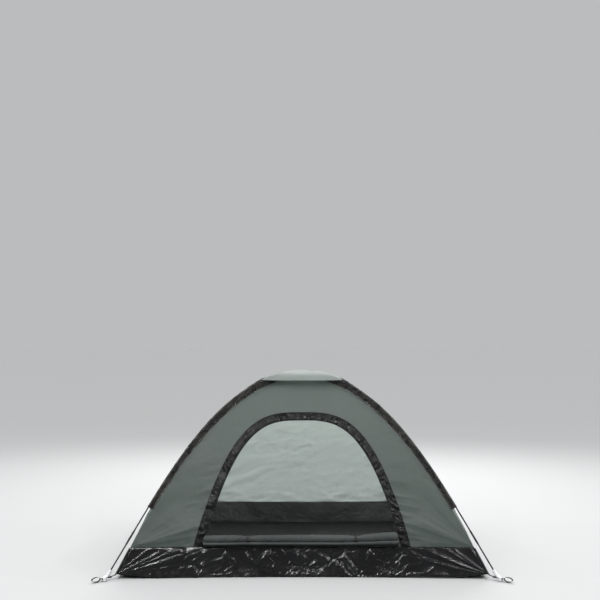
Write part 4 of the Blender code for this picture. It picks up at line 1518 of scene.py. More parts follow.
@dataclass
class Sleeves:
    """The four pole sleeves: gathered tubes with a doubled flange down to the ridge."""

    finishes: Finishes
    start: float = 0.447
    stop: float = 0.10
    radius: float = 0.0060
    flange_half: float = 0.0013
    root_gap: float = 0.0016
    stations: int = 300
    sides: int = 30
    thickness: float = 0.0006
    ties: tuple[float, ...] = (0.40, 0.79)  # where the cloth is drawn in, as a share of the sleeve
    gather: float = 0.0044  # the gathers' depth, and how much deeper they are near the crossing
    top_gather: float = 0.0030
    facet: float = 0.0014  # small facets on the flange, and over the pole
    round_facet: float = 0.0009
    tie_crease: float = 0.0030  # creases at a tie, and how far it draws the cloth in
    tie_draw: float = 0.0012
    flare: float = 0.05  # how much wider an open end is
    half_girth: float = 0.05  # the flat pattern's reach from the pole's top down to the root
    root_lines: list[Line] = field(default_factory=list)

    def build(self) -> None:
        """Makes every sleeve."""
        for index, corner in enumerate(Corner):
            self.build_one(corner, 400 + 10 * index)

    def section(self, corner: Corner, distances: Array) -> tuple[Array, Array, Array]:
        """The sleeve's rings: round the pole on top, then drawn in to the flange and its root.

        A ring runs from the root up one side, round the pole and down the other side. The half
        width at a height over the root blends from the flange's to the pole's round.
        """
        centres, outward = FORM.pole_path(corner, distances)
        reach = FORM.ridge.gaps(*FORM.pole(corner).at(distances)).min(1) - self.root_gap
        turn = np.linspace(0, 1, self.sides + 1)
        side = np.where(turn < 0.5, -1.0, 1.0)
        along = np.abs(turn - 0.5) * 2  # 0 on the top of the pole, 1 at the root
        bend = np.clip(along / 0.5, 0, 1) * math.radians(128)
        round_out, round_half = np.cos(bend), np.sin(bend)
        rest = np.clip((along - 0.5) / 0.5, 0, 1)
        out = self.radius * round_out[None] * (1 - rest) - reach[:, None] * rest
        taper = (1 - rest) ** 1.6
        half = self.radius * round_half * taper + self.flange_half * (1 - taper) * (rest > 0)
        across = np.broadcast_to(side * half, out.shape)
        points = centres[:, None] + outward[:, None] * out[..., None]
        points = points + FORM.across_of(corner) * across[..., None]
        return points, along, side

    def relief(self, s: Array, along: Array, side: Array, seed: int) -> Array:
        """How far the cloth stands out sideways: crests of slanting gathers, small facets, and
        creases where it is drawn in at its ties.

        Args:
            s: distances along the pole, as a column.
            along: round the sleeve, from 0 on the top of the pole to 1 at the root.
            side: the sign of the side.
            seed: chooses the pattern.

        Returns:
            One height for each point of the rings.
        """
        rest = np.clip((along - 0.35) / 0.65, 0, 1)[None]
        slant = s + side * along * 0.022
        warp = 0.012 * soft_noise(s / 0.06, along * 2.0, seed)
        gathers = ridged(soft_noise((slant + warp) / 0.021, along * 1.3 + side * 5, seed + 1)) - 0.55
        fine = facet_noise((slant - warp) / 0.011, along * 3 + side * 9, seed + 2)
        strength = self.gather + self.top_gather * ramp(s, 0.62 * s.max(), 0.85 * s.max())
        height = (strength * gathers + self.facet * fine) * np.sin(math.pi * rest) ** 0.7
        height = height + self.round_facet * fine * (1 - rest)
        share = (s - self.start) / np.ptp(s)
        for place in self.ties:
            near = np.exp(-(((share - place) / 0.016) ** 2))
            cross = facet_noise((s + side * along * 0.05) / 0.010, along * 2 + side * 7, seed + 4)
            crease = self.tie_crease * cross * np.sin(math.pi * rest)
            height = height + near * (crease - self.tie_draw)
        return height

    def build_one(self, corner: Corner, seed: int) -> None:
        """Makes one sleeve, with slanting gathers that differ on its two sides."""
        distances = np.linspace(self.start, FORM.pole(corner).length - self.stop, self.stations)
        points, along, side = self.section(corner, distances)
        s = distances[:, None]
        height = self.relief(s, along, side, seed)
        centre = points.mean(1, keepdims=True)
        direction = FORM.across_of(corner) * side[None, :, None]
        points = points + direction * height[..., None]
        ends = np.exp(-np.minimum(s - self.start, s.max() - s) / 0.012)
        points = points + (points - centre) * (self.flare * ends)[..., None]
        lengths = np.broadcast_to(along * self.half_girth * side, points.shape[:2])
        flat = np.stack([lengths, np.broadcast_to(s, lengths.shape)], -1)
        skin = Skin()
        skin.sheet(points, flat, self.thickness, centre)
        for column in (2, self.sides - 2):
            away = np.broadcast_to(direction[0, column], (len(points), 3))
            self.root_lines.append((points[:, column], away))
        # The sleeve's black cloth holds painted sheen in its lighter mottle tone.
        made = skin.finish(f"sleeve_cloth_{corner.label}", [self.finishes.black])
        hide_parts(f"sleeve_{corner.label}")
        pole = "upper" if FORM.pole(corner) is FORM.upper_pole else "lower"


@dataclass
class RidgeTapes:
    """The black tapes under the sleeves' roots, lapped over the ridge onto both walls."""

    finishes: Finishes
    walls: Walls
    width: float = 0.0080  # onto each wall
    wander: float = 0.0012  # how far its edges wander from a straight line
    lift: float = 0.0009
    thickness: float = 0.0005
    stations: int = 260
    edge_lines: list[Line] = field(default_factory=list)

    def build(self, sleeves: Sleeves) -> None:
        """Makes every tape, as long as its sleeve."""
        for corner in Corner:
            self.build_one(corner, sleeves)

    def lap(self, side: Side, sign: int, distance: Array, inset: Array) -> Array:
        """Points on one wall, inset from the ridge at the wall's end of this sign."""
        half = FORM.half_width(side, FORM.ridge.at(distance)[0])
        up = FORM.up_of(side, distance)
        return self.walls.surface(side, sign * (half - inset), up, np.array(self.lift))

    def build_one(self, corner: Corner, sleeves: Sleeves) -> None:
        """Makes one tape: a strip on the wide wall, bent over the ridge to a strip on the other."""
        bow = FORM.pole(corner)
        sleeve_ends = bow.at(np.array([sleeves.start, bow.length - sleeves.stop]))
        nearest = FORM.ridge.gaps(*sleeve_ends).argmin(1)
        ends = np.minimum(FORM.ridge.distances[nearest], FORM.roof)
        distance = np.linspace(*ends, self.stations)[:, None]
        sign_x, sign_y = corner.value
        wide = Side.FRONT if sign_y < 0 else Side.REAR
        narrow = Side.LEFT if sign_x < 0 else Side.RIGHT
        wave = self.wander * soft_noise(distance / 0.05, 0.0, 470)
        inset = (self.width + wave) * np.linspace(1, 0, 5)
        first = self.lap(wide, sign_x, distance, inset)
        second = self.lap(narrow, sign_y, distance, inset[:, ::-1])
        points = np.concatenate([first, second], 1)
        across = np.concatenate([-inset, inset[:, ::-1]], 1)
        flat = np.stack([across, np.broadcast_to(distance, across.shape)], -1)
        normal = outward_normals(points, INSIDE)
        for column in (1, -2):
            self.edge_lines.append((points[:, column], normal[:, column]))
        skin = Skin()
        skin.sheet(points, flat, self.thickness, INSIDE)
        # The tape uses the sleeves' black cloth, with painted sheen in its lighter mottle tone.
        made = skin.finish(f"ridge_tape_{corner.label}", [self.finishes.black])


@dataclass
class Doorway:
    """The black trim round the arch, its zip, and the zip's two sliders."""

    finishes: Finishes
    walls: Walls
    outer: tuple[float, float] = (0.594, 0.790)
    inner: tuple[float, float] = (0.546, 0.741)
    zip_inner: tuple[float, float] = (0.540, 0.735)
    stations: int = 520
    across: int = 14
    thickness: float = 0.0005
    trim_width: float = 0.048
    trim_flat: float = 0.066  # the trim's own width, with what turns round the doorway's edge
    zip_width: float = 0.006
    zip_depth: float = -0.0024  # the zip lies behind the wall's face
    zip_thickness: float = 0.0004
    stitch_lift: float = 0.0002  # how far a stitch stands over the trim
    tooth_pitch: float = 0.0028
    tooth_reach: float = 0.0012
    tooth_rise: float = 0.0013
    tooth_depth: float = -0.0018
    slider_up: float = 0.105  # how far up from the seam a slider stands
    slider_inset: float = 0.0042  # inwards from the zip's edge
    slider_lift: float = -0.0010  # the height of its middle over the wall
    slider_size: tuple[float, float, float] = (0.0155, 0.0088, 0.0062)  # length, width, thickness
    pull_lift: float = 0.0035
    pull_size: tuple[float, float, float] = (0.034, 0.0032, 0.0022)  # length, half width, thickness
    trim_lift: float = 0.0006  # the trim's height over the wall at its edges, and the least anywhere
    trim_least: float = 0.0005
    trim_puff: float = 0.0026
    trim_pucker: float = 0.0080
    trim_facet: float = 0.0024

    def edges(self, *sizes: tuple[float, float]) -> list[Array]:
        """The outlines of arches of these sizes, as points of the flat pattern."""
        return [np.stack(self.walls.arch(size, self.stations), -1) for size in sizes]

    def on_wall(self, x: Array, up: Array, lift: Array) -> Array:
        """Points of the flat pattern, lifted from the folded front wall."""
        return self.walls.surface(Side.FRONT, x, up, lift)

    def build(self) -> None:
        """Makes the trim, the zip and the sliders."""
        self.build_trim()
        self.build_zip()
        for side, sign in (("left", -1), ("right", 1)):
            self.build_slider(side, sign)

    def trim_relief(self, share: Array, along: Array) -> Array:
        """How far the trim puffs off the wall: slanting puckers and small facets, flat at both edges.

        Args:
            share: across the trim, from 0 at its outer edge to 1 at its inner edge.
            along: distance along its outer edge.

        Returns:
            Heights over the wall.
        """
        place = share * self.trim_width
        warp = 0.012 * soft_noise(along / 0.09, place / 0.05, 501)
        slant = along + 0.55 * place + warp
        puckers = ridged(soft_noise(slant / 0.026, place / 0.06, 502)) - 0.5
        fine = facet_noise(slant / 0.013, place / 0.02, 503)
        pillow = np.sin(math.pi * np.clip(share, 0, 1)) ** 0.6
        puff = self.trim_puff + self.trim_pucker * puckers + self.trim_facet * fine
        return np.maximum(self.trim_lift + pillow * puff, self.trim_least)

    def trim_line(self, share: float) -> Array:
        """A line along the trim's outer face, at a share of the way across it."""
        outer, inner = self.edges(self.outer, self.inner)
        line = outer * (1 - share) + inner * share
        lift = self.trim_relief(np.full(self.stations, share), path_lengths(outer))
        return self.on_wall(line[:, 0], line[:, 1], lift + self.stitch_lift)

    def build_trim(self) -> None:
        """Makes the trim: a puckered band that turns round the doorway's edge to the inner side."""
        outer, inner = self.edges(self.outer, self.inner)
        share = np.concatenate([np.linspace(0, 1, self.across), [1.05, 1.0, 0.86, 0.72]])[:, None]
        lift = np.concatenate([np.zeros(self.across), [-0.0006, -0.0016, -0.0018, -0.0018]])[:, None]
        line = outer[None] * (1 - share[..., None]) + inner[None] * share[..., None]
        x, up = line[..., 0], line[..., 1]
        along = path_lengths(outer)[None]
        height = np.where(lift < 0, lift, self.trim_relief(share, along))
        points = self.on_wall(x, up, height)
        skin = Skin()
        flat = np.stack(np.broadcast_arrays(share * self.trim_width, along), -1)
        skin.sheet(points, flat, self.thickness, INSIDE)
        made = skin.finish("door_trim_band", [self.finishes.trim])
        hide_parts("door_trim")

    def build_zip(self) -> None:
        """Makes the zip: a flat tape and the coil's teeth along its free edge."""
        skin = Skin()
        outer, inner = self.edges(self.inner, self.zip_inner)
        share = np.linspace(-0.8, 1, 6)[:, None]
        line = outer[None] * (1 - share[..., None]) + inner[None] * share[..., None]
        points = self.on_wall(line[..., 0], line[..., 1], np.array(self.zip_depth))
        flat = np.stack(np.broadcast_arrays(share * self.zip_width, path_lengths(outer)[None]), -1)
        skin.sheet(points, flat, self.zip_thickness, INSIDE)
        arch = resampled(np.stack(self.walls.arch(self.zip_inner, 4000), -1), self.tooth_pitch)
        tangent = unit(np.gradient(arch, axis=0))
        toward = np.stack([tangent[:, 1], -tangent[:, 0]], 1)
        diamond = ((-1, 0), (0, 1), (1, 0), (0, -1))
        shape = [(reach, beside, lift) for reach, lift in diamond for beside in (-1, 1)]
        corners = []
        for reach, beside, lift in shape:
            spot = arch + toward * (self.tooth_reach * reach)
            spot = spot + tangent * (self.tooth_pitch * 0.34 * beside)
            raised = np.array(self.tooth_depth + self.tooth_rise * lift)
            corners.append(self.on_wall(spot[:, 0], spot[:, 1], raised))
        around = [(k, k + 1, (k + 3) % 8, (k + 2) % 8) for k in (0, 2, 4, 6)]
        faces = np.array([*around, (0, 2, 4, 6), (1, 7, 5, 3)])
        skin.copies(np.stack(corners, 1), faces, 1)
        made = skin.finish("door_zip_coil", [self.finishes.webbing, self.finishes.dark_moulding], sharp=40)
        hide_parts("door_zip")

    def build_slider(self, side: str, sign: int) -> None:
        """Makes a slider: a waisted body, and a pull that hangs from it."""
        reach, tall = self.zip_inner
        edge = reach * (1 - self.slider_up / tall) ** (1 / self.walls.arch_power) - self.slider_inset
        outline = rounded(np.linspace(0, 2 * math.pi, 25), 0.55)
        skin = Skin()
        self.add_body(skin, sign * edge, *outline)
        self.add_pull(skin, sign * edge, *outline)
        made = skin.finish(f"zip_slider_body_{side}", [self.finishes.dark_moulding], sharp=50)
        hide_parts(f"zip_slider_{side}")

    def add_body(self, skin: Skin, x: float, round_x: Array, round_z: Array) -> None:
        """Adds a slider's body, whose half width falls off from its middle as a cosine.

        Args:
            skin: takes the body.
            x: the slider's place across the wall.
            round_x, round_z: a rounded square's outline, from -1 to 1.
        """
        length, width, thick = self.slider_size
        t = np.linspace(-1, 1, 13)
        half = width / 2 * (0.72 + 0.28 * np.cos(math.pi * t * 0.9))
        ends = np.clip(1 - np.abs(t) ** 8, 0.25, 1)
        across = x + half[:, None] * round_x * ends[:, None]
        place = self.slider_up + t * length / 2
        lift = self.slider_lift + thick / 2 * round_z * ends[:, None]
        skin.tube(self.on_wall(across, place[:, None], lift), ring_flat(place, width / 2, 24))

    def add_pull(self, skin: Skin, x: float, round_x: Array, round_z: Array) -> None:
        """Adds a slider's pull, straight down: it swells by a sine, and its end closes by a power.

        Args:
            skin: takes the pull.
            x: the slider's place across the wall.
            round_x, round_z: a rounded square's outline, from -1 to 1.
        """
        length, half_width, thick = self.pull_size
        hook = self.on_wall(np.array(x), np.array(self.slider_up), np.array(self.pull_lift))
        drop = np.linspace(0, 1, 17)
        swell = 0.75 + 0.25 * np.sin(math.pi * drop**0.7)
        half = half_width * swell * np.clip(1.02 - drop**12, 0.3, 1)
        centres = hook - UP * length * drop[:, None] + np.array([0.0, -0.0004, 0.0])
        ring_x = half[:, None] * round_x
        ring_y = thick / 2 * round_z * np.ones_like(ring_x)
        rings = centres[:, None] + np.stack([ring_x, ring_y, np.zeros_like(ring_x)], -1)
        skin.tube(rings, ring_flat(drop * length, 0.003, 24))


@dataclass
class RolledDoor:
    """The door's cloth, rolled down onto its lowest strip, with two ties and their toggles."""

    finishes: Finishes
    walls: Walls
    rise: float = 0.012
    radius: float = 0.0262
    waist: float = 0.0205
    under_tie: float = 0.0004  # how far the cloth lies under a tie
    wall_half: float = 0.00125  # half of the solid wall's thickness
    half_length: float = 0.524
    tie_offset: float = 0.294
    tie_width: float = 0.012
    band_lift: float = 0.0013  # over the waist
    band_wave: float = 0.0003
    band_thickness: float = 0.0012
    toggle_gap: float = 0.0016  # from the waist, and from there out to the toggle's middle
    toggle_lift: float = 0.0034
    toggle_half: float = 0.013
    toggle_radius: float = 0.0045
    cord_back: float = 0.001  # the cord lies this much nearer the roll than the toggle does
    cord_radius: float = 0.0011
    pitch: float = 0.0031  # from one turn of cloth to the next
    turns: float = 6.2
    turn_points: int = 34
    stations: int = 150
    door: tuple[float, float] = (1.08, 0.735)
    start_angle: float = math.radians(205)  # where the roll's outer end leaves for the seam
    strip_bow: float = -0.016  # how far the strip below the roll bows out
    right_lift: float = 0.013  # how much higher the right end lies
    right_loose: float = 0.0036  # how much thicker the right end is, and how much thinner the left
    left_tight: float = 0.0014
    lean_share: float = 0.05  # how far lean, folds and gathers move the radius, as shares of it
    fold_share: float = 0.035
    gather_share: float = 0.11
    left_reach: float = 0.016  # how much further the roll's left end runs out
    end_rounding: float = 0.020  # the length over which an end closes in, and how far it does
    end_size: float = 0.45

    def centre(self, x: Array) -> Array:
        """The middle of the roll's section at x, over the tub's front seam."""
        half = FORM.half_width(Side.FRONT, FORM.ridge.at(FORM.seam)[0])
        seam = FORM.wall_point(Side.FRONT, x / half, np.full_like(x, FORM.seam), -self.wall_half)
        raised = self.right_lift * ramp(x, 0.26, 0.50)
        seam[..., 2] = FORM.tub_height + self.rise + self.radius + raised
        return seam

    def size(self, x: Array) -> Array:
        """The roll's outer radius at x: full, drawn in at the ties, looser at its right end."""
        away = np.maximum(0.0, np.abs(np.abs(x) - self.tie_offset) - 0.008)
        squeeze = np.exp(-((away / 0.03) ** 2))
        loose = self.right_loose * ramp(x, 0.33, 0.50) - self.left_tight * ramp(-x, 0.0, 0.2)
        return (self.radius + loose) * (1 - squeeze) + (self.waist - self.under_tie) * squeeze

    def build(self) -> None:
        """Makes the roll and its ties."""
        self.build_roll()
        for side, sign in (("left", -1), ("right", 1)):
            self.build_tie(side, sign * self.tie_offset)

    def spiral_radius(self, x: Array, turn: Array, angle: Array) -> Array:
        """The radius of the rolled cloth: the roll's own, less a pitch for each turn, varied by a
        slow lean, long folds and gathers at the ties, and closed in over a quarter circle at its ends.

        Args:
            x: places along the roll, as a column.
            turn: turns from the outer end, as a row.
            angle: the angle of each turn.

        Returns:
            One radius for each place and turn.
        """
        inner = 1 - turn * self.pitch / self.radius
        lean = layered(soft_noise, x / 0.21, np.cos(angle) * 0.8 + 3, 601, 2)
        folds = ridged(soft_noise(x / 0.11 + 0.5 * np.sin(angle), np.sin(angle) * 0.9, 602)) - 0.5
        from_tie = np.abs(np.abs(x) - self.tie_offset)
        gathers = soft_noise(angle * 2.6, from_tie / 0.05, 603) * np.exp(-((from_tie / 0.045) ** 2))
        wobble = 1 + self.lean_share * lean + self.fold_share * folds + self.gather_share * gathers
        away = np.where(x < 0, self.half_length + self.left_reach + x, self.half_length - x)
        away = away / self.end_rounding
        full = np.sqrt(np.clip(away * (2 - np.minimum(away, 1)), 0, 1))
        wobble = wobble * (self.end_size + (1 - self.end_size) * full)
        return self.size(x) * inner * wobble

    def build_roll(self) -> None:
        """Makes the roll: a spiral whose turns lie a pitch apart, with its outer end let down to the
        seam as a strip. Every turn carries the same folds, so that they nest."""
        near = np.concatenate([s * self.tie_offset + np.linspace(-0.05, 0.05, 22) for s in (-1, 1)])
        even = np.linspace(-self.half_length - self.left_reach, self.half_length, self.stations)
        x = np.sort(np.concatenate([even, near]))[:, None]
        turn = np.linspace(0, self.turns, int(self.turns * self.turn_points))[None]
        angle = self.start_angle + turn * 2 * math.pi
        radius = self.spiral_radius(x, turn, angle)
        middle = self.centre(x)
        y = middle[..., 1] + radius * np.cos(angle)
        z = middle[..., 2] + radius * np.sin(angle)
        spiral = np.stack(np.broadcast_arrays(x, y, z), -1)
        spiral[..., 2] = np.maximum(spiral[..., 2], FORM.tub_height + 0.002)
        drop = np.linspace(0, 1, 8)[None, :-1, None]
        foot = middle[:, 0] * (1, 1, 0) + UP * (FORM.tub_height + 0.0006) - (0, 0.0012, 0)
        start = spiral[:, :1]
        bow = np.array([0.0, self.strip_bow, 0.0]) * np.sin(math.pi * drop)
        strip = foot[:, None] * (1 - drop) + start * drop + bow
        points = np.concatenate([strip, spiral], 1)
        skin = Skin()
        unrolled = np.linspace(0, self.door[1], points.shape[1])[None]
        skin.grid(points, np.stack(np.broadcast_arrays(x, unrolled), -1))
        # The roll's finish holds painted shade in its colour.
        made = skin.finish("rolled_door_cloth", [self.finishes.rolled])
        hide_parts("rolled_door")

    def build_tie(self, side: str, x: float) -> None:
        """Makes a tie: a band of tape round the roll, closed by a toggle in a loop of cord."""
        skin = Skin()
        centre = self.centre(np.array([x]))[0]
        out = self.waist + self.toggle_gap + self.toggle_lift
        self.add_band(skin, centre, x)
        self.add_toggle(skin, centre - (0, out, 0))
        self.add_cord(skin, centre - (0, out - self.cord_back, 0))
        materials = [self.finishes.webbing, self.finishes.dark_moulding]
        made = skin.finish(f"door_tie_band_{side}", materials, sharp=50)
        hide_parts(f"door_tie_{side}")

    def add_band(self, skin: Skin, centre: Array, x: float) -> None:
        """Adds a tie's band: an outer face whose radius waves with the turn, and an inner face under
        it, nearer at the edges by a fourth power.

        Args:
            skin: takes the band.
            centre: the middle of the roll at the tie.
            x: the tie's place, which shifts the wave.
        """
        width = np.linspace(-1, 1, 7)
        turn = np.linspace(0, 2 * math.pi, 65)
        outer = self.waist + self.band_lift + self.band_wave * np.cos(turn * 5 + x * 20)
        shape = np.stack([np.zeros_like(turn), outer * np.cos(turn), outer * np.sin(turn)], -1)
        band = centre + shape[None] + (self.tie_width / 2 * width)[:, None, None] * np.array([1.0, 0, 0])
        thin = self.band_thickness * (1 - 0.5 * np.abs(width) ** 4)[:, None, None]
        direction = shape / outer[:, None]
        inner = band - direction[None] * thin
        section = np.concatenate([band, inner[::-1], band[:1]])
        lengths = path_lengths(section[:, 0])
        flat = np.stack(np.meshgrid(turn * self.waist, lengths), -1)[..., ::-1]
        skin.grid(section, flat, wrap=True)

    def add_toggle(self, skin: Skin, spot: Array) -> None:
        """Adds a toggle: a barrel along X whose radius waves with a cosine and closes at both ends."""
        t = np.linspace(-1, 1, 19)
        swell = 0.80 + 0.20 * np.cos(2 * math.pi * t)
        thick = self.toggle_radius * swell * np.clip(1.04 - np.abs(t) ** 10, 0.2, 1)
        path = spot + np.array([self.toggle_half, 0, 0]) * t[:, None]
        rings = circle(path, np.array([0.0, 1.0, 0.0]), UP, thick, 16)
        skin.tube(rings, ring_flat(t * self.toggle_half, self.toggle_radius, 16), 1)

    def add_cord(self, skin: Skin, spot: Array) -> None:
        """Adds the loop of cord round a toggle: an oval that sways sideways by a double sine."""
        loop = np.linspace(0, 2 * math.pi, 25)
        bight = [0.0016 * np.sin(2 * loop), -0.0062 * np.cos(loop) + 0.002, -0.0065 * np.sin(loop)]
        cord = spot + np.stack(bight, -1)
        tangent = unit(np.gradient(cord, axis=0))
        first = unit(np.cross(tangent, [1.0, 0.0, 0.0]))
        rings = circle(cord, first, np.cross(tangent, first), self.cord_radius, 8)
        skin.tube(rings, ring_flat(path_lengths(cord), self.cord_radius, 8), 0, capped=False)


class CornerPieces:
    """Pieces of which one stands at every corner."""

    def build(self) -> None:
        """Makes the piece of each corner."""
        for corner in Corner:
            self.build_one(corner)

    def build_one(self, corner: Corner) -> None:
        """Makes the piece of one corner."""
        raise NotImplementedError


@dataclass
class Shoes(CornerPieces):
    """The moulded shoes on the poles' feet: a round foot, a slot and a leaning ribbed neck."""

    finishes: Finishes
    sides: int = 48
    slot_bottom: float = 0.0140
    slot_height: float = 0.0030
    slot_half: float = 0.0081
    sharp: float = 38.0  # edges steeper than this many degrees stay sharp
    rib_depth: float = 0.00035
    neck_radius: float = 0.009

    def build_one(self, corner: Corner) -> None:
        """Makes one shoe by carrying a turned outline up a path that bends into the pole's lean."""
        outline = np.array(
            [
                (0.0, 0.0112), (0.0008, 0.0127), (0.0022, 0.0135), (0.0060, 0.0136), (0.0085, 0.0130),
                (0.0100, 0.0124), (0.0130, 0.0122), (0.0185, 0.0122), (0.0215, 0.0121), (0.0250, 0.0114),
                (0.0290, 0.0105), (0.0340, 0.0098), (0.0365, 0.0096), (0.0375, 0.0105), (0.0400, 0.0107),
                (0.0412, 0.0096), (0.0480, 0.0090), (0.0560, 0.0084), (0.0600, 0.0081), (0.0612, 0.0090),
                (0.0645, 0.0090), (0.0660, 0.0080), (0.0662, 0.0050), (0.0655, 0.0044), (0.0340, 0.0044),
            ]
        )
        out = FORM.out_of(corner)
        pole, outward = FORM.pole_path(corner, np.maximum(outline[:, 0], 0.001))
        base = out * FORM.foot_radius + UP * outline[:, :1]
        lean = ramp(outline[:, 0], 0.010, 0.036)[:, None]
        centres = base * (1 - lean) + pole * lean
        first = unit(out * (1 - lean) + outward * lean)
        rings = circle(centres, first, FORM.across_of(corner), outline[:, 1], self.sides)
        turn = np.linspace(0, 2 * math.pi, self.sides + 1)
        neck = ramp(outline[:, 0], 0.042, 0.046) * (1 - ramp(outline[:, 0], 0.056, 0.060))
        ribs = self.rib_depth * np.cos(12 * turn)[None, :, None] * neck[:, None, None]
        rings = rings + (rings - centres[:, None]) * ribs / self.neck_radius
        rings[0, :, 2] = 0.0002
        skin = Skin()
        skin.tube(rings, ring_flat(outline[:, 0], 0.012, self.sides))
        made = skin.finish(f"pole_shoe_{corner.label}", [self.finishes.moulding], sharp=self.sharp)
        cut_slot(made, self.slot_block(corner), self.sharp)
        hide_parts(f"pole_cup_{corner.label}")

    def slot_block(self, corner: Corner) -> Skin:
        """The block that cuts the webbing's slot, with rounded corners."""
        out, across = FORM.out_of(corner), FORM.across_of(corner)
        wide, high = rounded(np.linspace(0, 2 * math.pi, 33), 0.4)
        level = high * self.slot_height / 2 + self.slot_bottom + self.slot_height / 2
        ring = across * (wide * self.slot_half)[:, None] + UP * level[:, None]
        skin = Skin()
        rings = np.stack([ring + out * (FORM.foot_radius + reach) for reach in (-0.03, 0.03)])
        skin.tube(rings, ring_flat(np.array([0.0, 0.06]), 0.005, 32))
        return skin


def cut_slot(made: Piece, block: Skin, sharp: float) -> None:
    """Cuts a block out of a piece, removes the block and marks the sharp edges anew."""
    cutter = block.finish("slot_block", [])
    modifier = made.modifiers.new("slot", "BOOLEAN")
    modifier.operation = "DIFFERENCE"
    modifier.object = cutter
    cut = bpy.data.meshes.new_from_object(made.evaluated_get(bpy.context.evaluated_depsgraph_get()))
    made.modifiers.clear()
    made.data = cut
    made.data.set_sharp_from_angle(angle=math.radians(sharp))
    bpy.data.objects.remove(cutter)


@dataclass
class CornerTapes(CornerPieces):
    """The corner webbing: down the tub's ridge, through the shoe's slot and round a pegging loop."""

    finishes: Finishes
    width: float = 0.015
    thickness: float = 0.0013
    slot_height: float = 0.01475
    loop_centre: float = 0.046
    loop_half_length: float = 0.024
    loop_half_height: float = 0.013
    tack_thickness: float = 0.0075

    def ribbon(self, skin: Skin, path: Array, across: Array, width: Array, thickness: float) -> None:
        """Adds a flat tape with rounded edges along a path.

        The section is a flattened oval: the cosine and the sine of the turn, each to a power.
        """
        face = unit(np.cross(unit(np.gradient(path, axis=0)), across))
        wide, high = rounded(np.linspace(0, 2 * math.pi, 17), 0.5)
        width = np.broadcast_to(width, len(path))[:, None, None]
        rings = path[:, None] + across * wide[None, :, None] * width / 2
        rings = rings + face[:, None] * high[None, :, None] * thickness / 2
        lengths = path_lengths(path)
        flat = np.stack(np.broadcast_arrays(wide * 0.0075, lengths[:, None]), -1)
        skin.tube(rings, flat)

    def build_one(self, corner: Corner) -> None:
        """Makes one corner's webbing."""
        out, across = FORM.out_of(corner), FORM.across_of(corner)
        skin = Skin()
        heights = np.linspace(FORM.tub_height - 0.001, FORM.corner_lift + 0.004, 26)
        radius, height = FORM.ridge.at(FORM.ridge.distance_at_height(heights), 0.0011)
        down = out * radius[:, None] + UP * height[:, None]
        middle = self.slot_height + self.thickness / 2
        shoe = FORM.foot_radius
        tail = np.array(
            [
                (FORM.diagonal + 0.004, FORM.corner_lift - 0.002),
                (FORM.diagonal + 0.020, middle + 0.004),
                (shoe - 0.020, middle + 0.0008),
                (shoe, middle),
                (shoe + self.loop_centre - self.loop_half_length, middle),
            ]
        )
        tail = out * tail[:, :1] + UP * tail[:, 1:]
        path = resampled(smoothed(np.concatenate([down, tail])), 0.004)
        self.ribbon(skin, path, across, self.width, self.thickness)
        tack = out * (shoe - np.linspace(0.040, 0.018, 9))[:, None] + UP * (middle + 0.0016)
        self.ribbon(skin, tack, across, self.width + 0.002, self.tack_thickness)
        turn = np.linspace(0, 2 * math.pi, 49)
        half_length, half_height = self.loop_half_length - 0.0007, self.loop_half_height - 0.0007
        sag = 0.92 + 0.08 * np.cos(turn)
        reach = shoe + self.loop_centre + half_length * -np.cos(turn)
        level = middle + half_height * np.sin(turn) * sag
        loop = out * reach[:, None] + UP * level[:, None]
        self.ribbon(skin, loop[np.r_[0:48, 0]], across, self.width, self.thickness)
        made = skin.finish(f"corner_webbing_{corner.label}", [self.finishes.webbing], sharp=50)
        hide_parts(f"webbing_{corner.label}")


def smoothed(path: Array, passes: int = 3) -> Array:
    """A path with its corners cut, each pass a quarter in from every point, ends kept."""
    for _ in range(passes):
        quarter, rest = path[:-1] * 0.75 + path[1:] * 0.25, path[:-1] * 0.25 + path[1:] * 0.75
        middle = np.stack([quarter, rest], 1).reshape(-1, path.shape[1])
        path = np.concatenate([path[:1], middle, path[-1:]])
    return path


@dataclass
class CapStraps(CornerPieces):
    """The rain cap's corner straps, whose ends clip round the sleeves."""

    finishes: Finishes
    start_radius: float = 0.30
    length: float = 0.078
    inner: float = 0.0066
    outer: float = 0.0080
    narrow: float = math.radians(45)
    wide: float = math.radians(116)

    def build_one(self, corner: Corner) -> None:
        """Makes one strap: a curved band that widens into a clip by a smooth step."""
        bow = FORM.pole(corner)
        start = float(bow.distance_at_radius(self.start_radius)) - 0.0006
        share = np.linspace(0, 1, 40)
        centres, outward = FORM.pole_path(corner, start - self.length * share)
        grip = ramp(share, 0.5, 0.78)[:, None]
        half = self.narrow + (self.wide - self.narrow) * grip
        edge = np.linspace(-1, 1, 21)
        ends = np.where(share[:, None] > 0.97, 0.96, 1.0)
        turn = np.concatenate([edge, edge[::-1], edge[:1]])[None] * half * ends
        rounding = 0.35 * np.abs(edge) ** 8
        middle = (self.inner + self.outer) / 2
        thick = (self.outer - self.inner) / 2 * (1 - rounding)
        radius = np.concatenate([middle + thick, middle - thick, (middle + thick)[:1]])[None]
        beside = FORM.across_of(corner)
        band = np.cos(turn)[..., None] * outward[:, None] + np.sin(turn)[..., None] * beside
        rings = centres[:, None] + radius[..., None] * band
        flat = np.stack(np.broadcast_arrays(turn * middle, share[:, None] * self.length), -1)
        skin = Skin()
        skin.tube(rings, flat)
        made = skin.finish(f"cap_strap_{corner.label}", [self.finishes.webbing], sharp=45)
        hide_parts(f"cap_hook_{corner.label}")


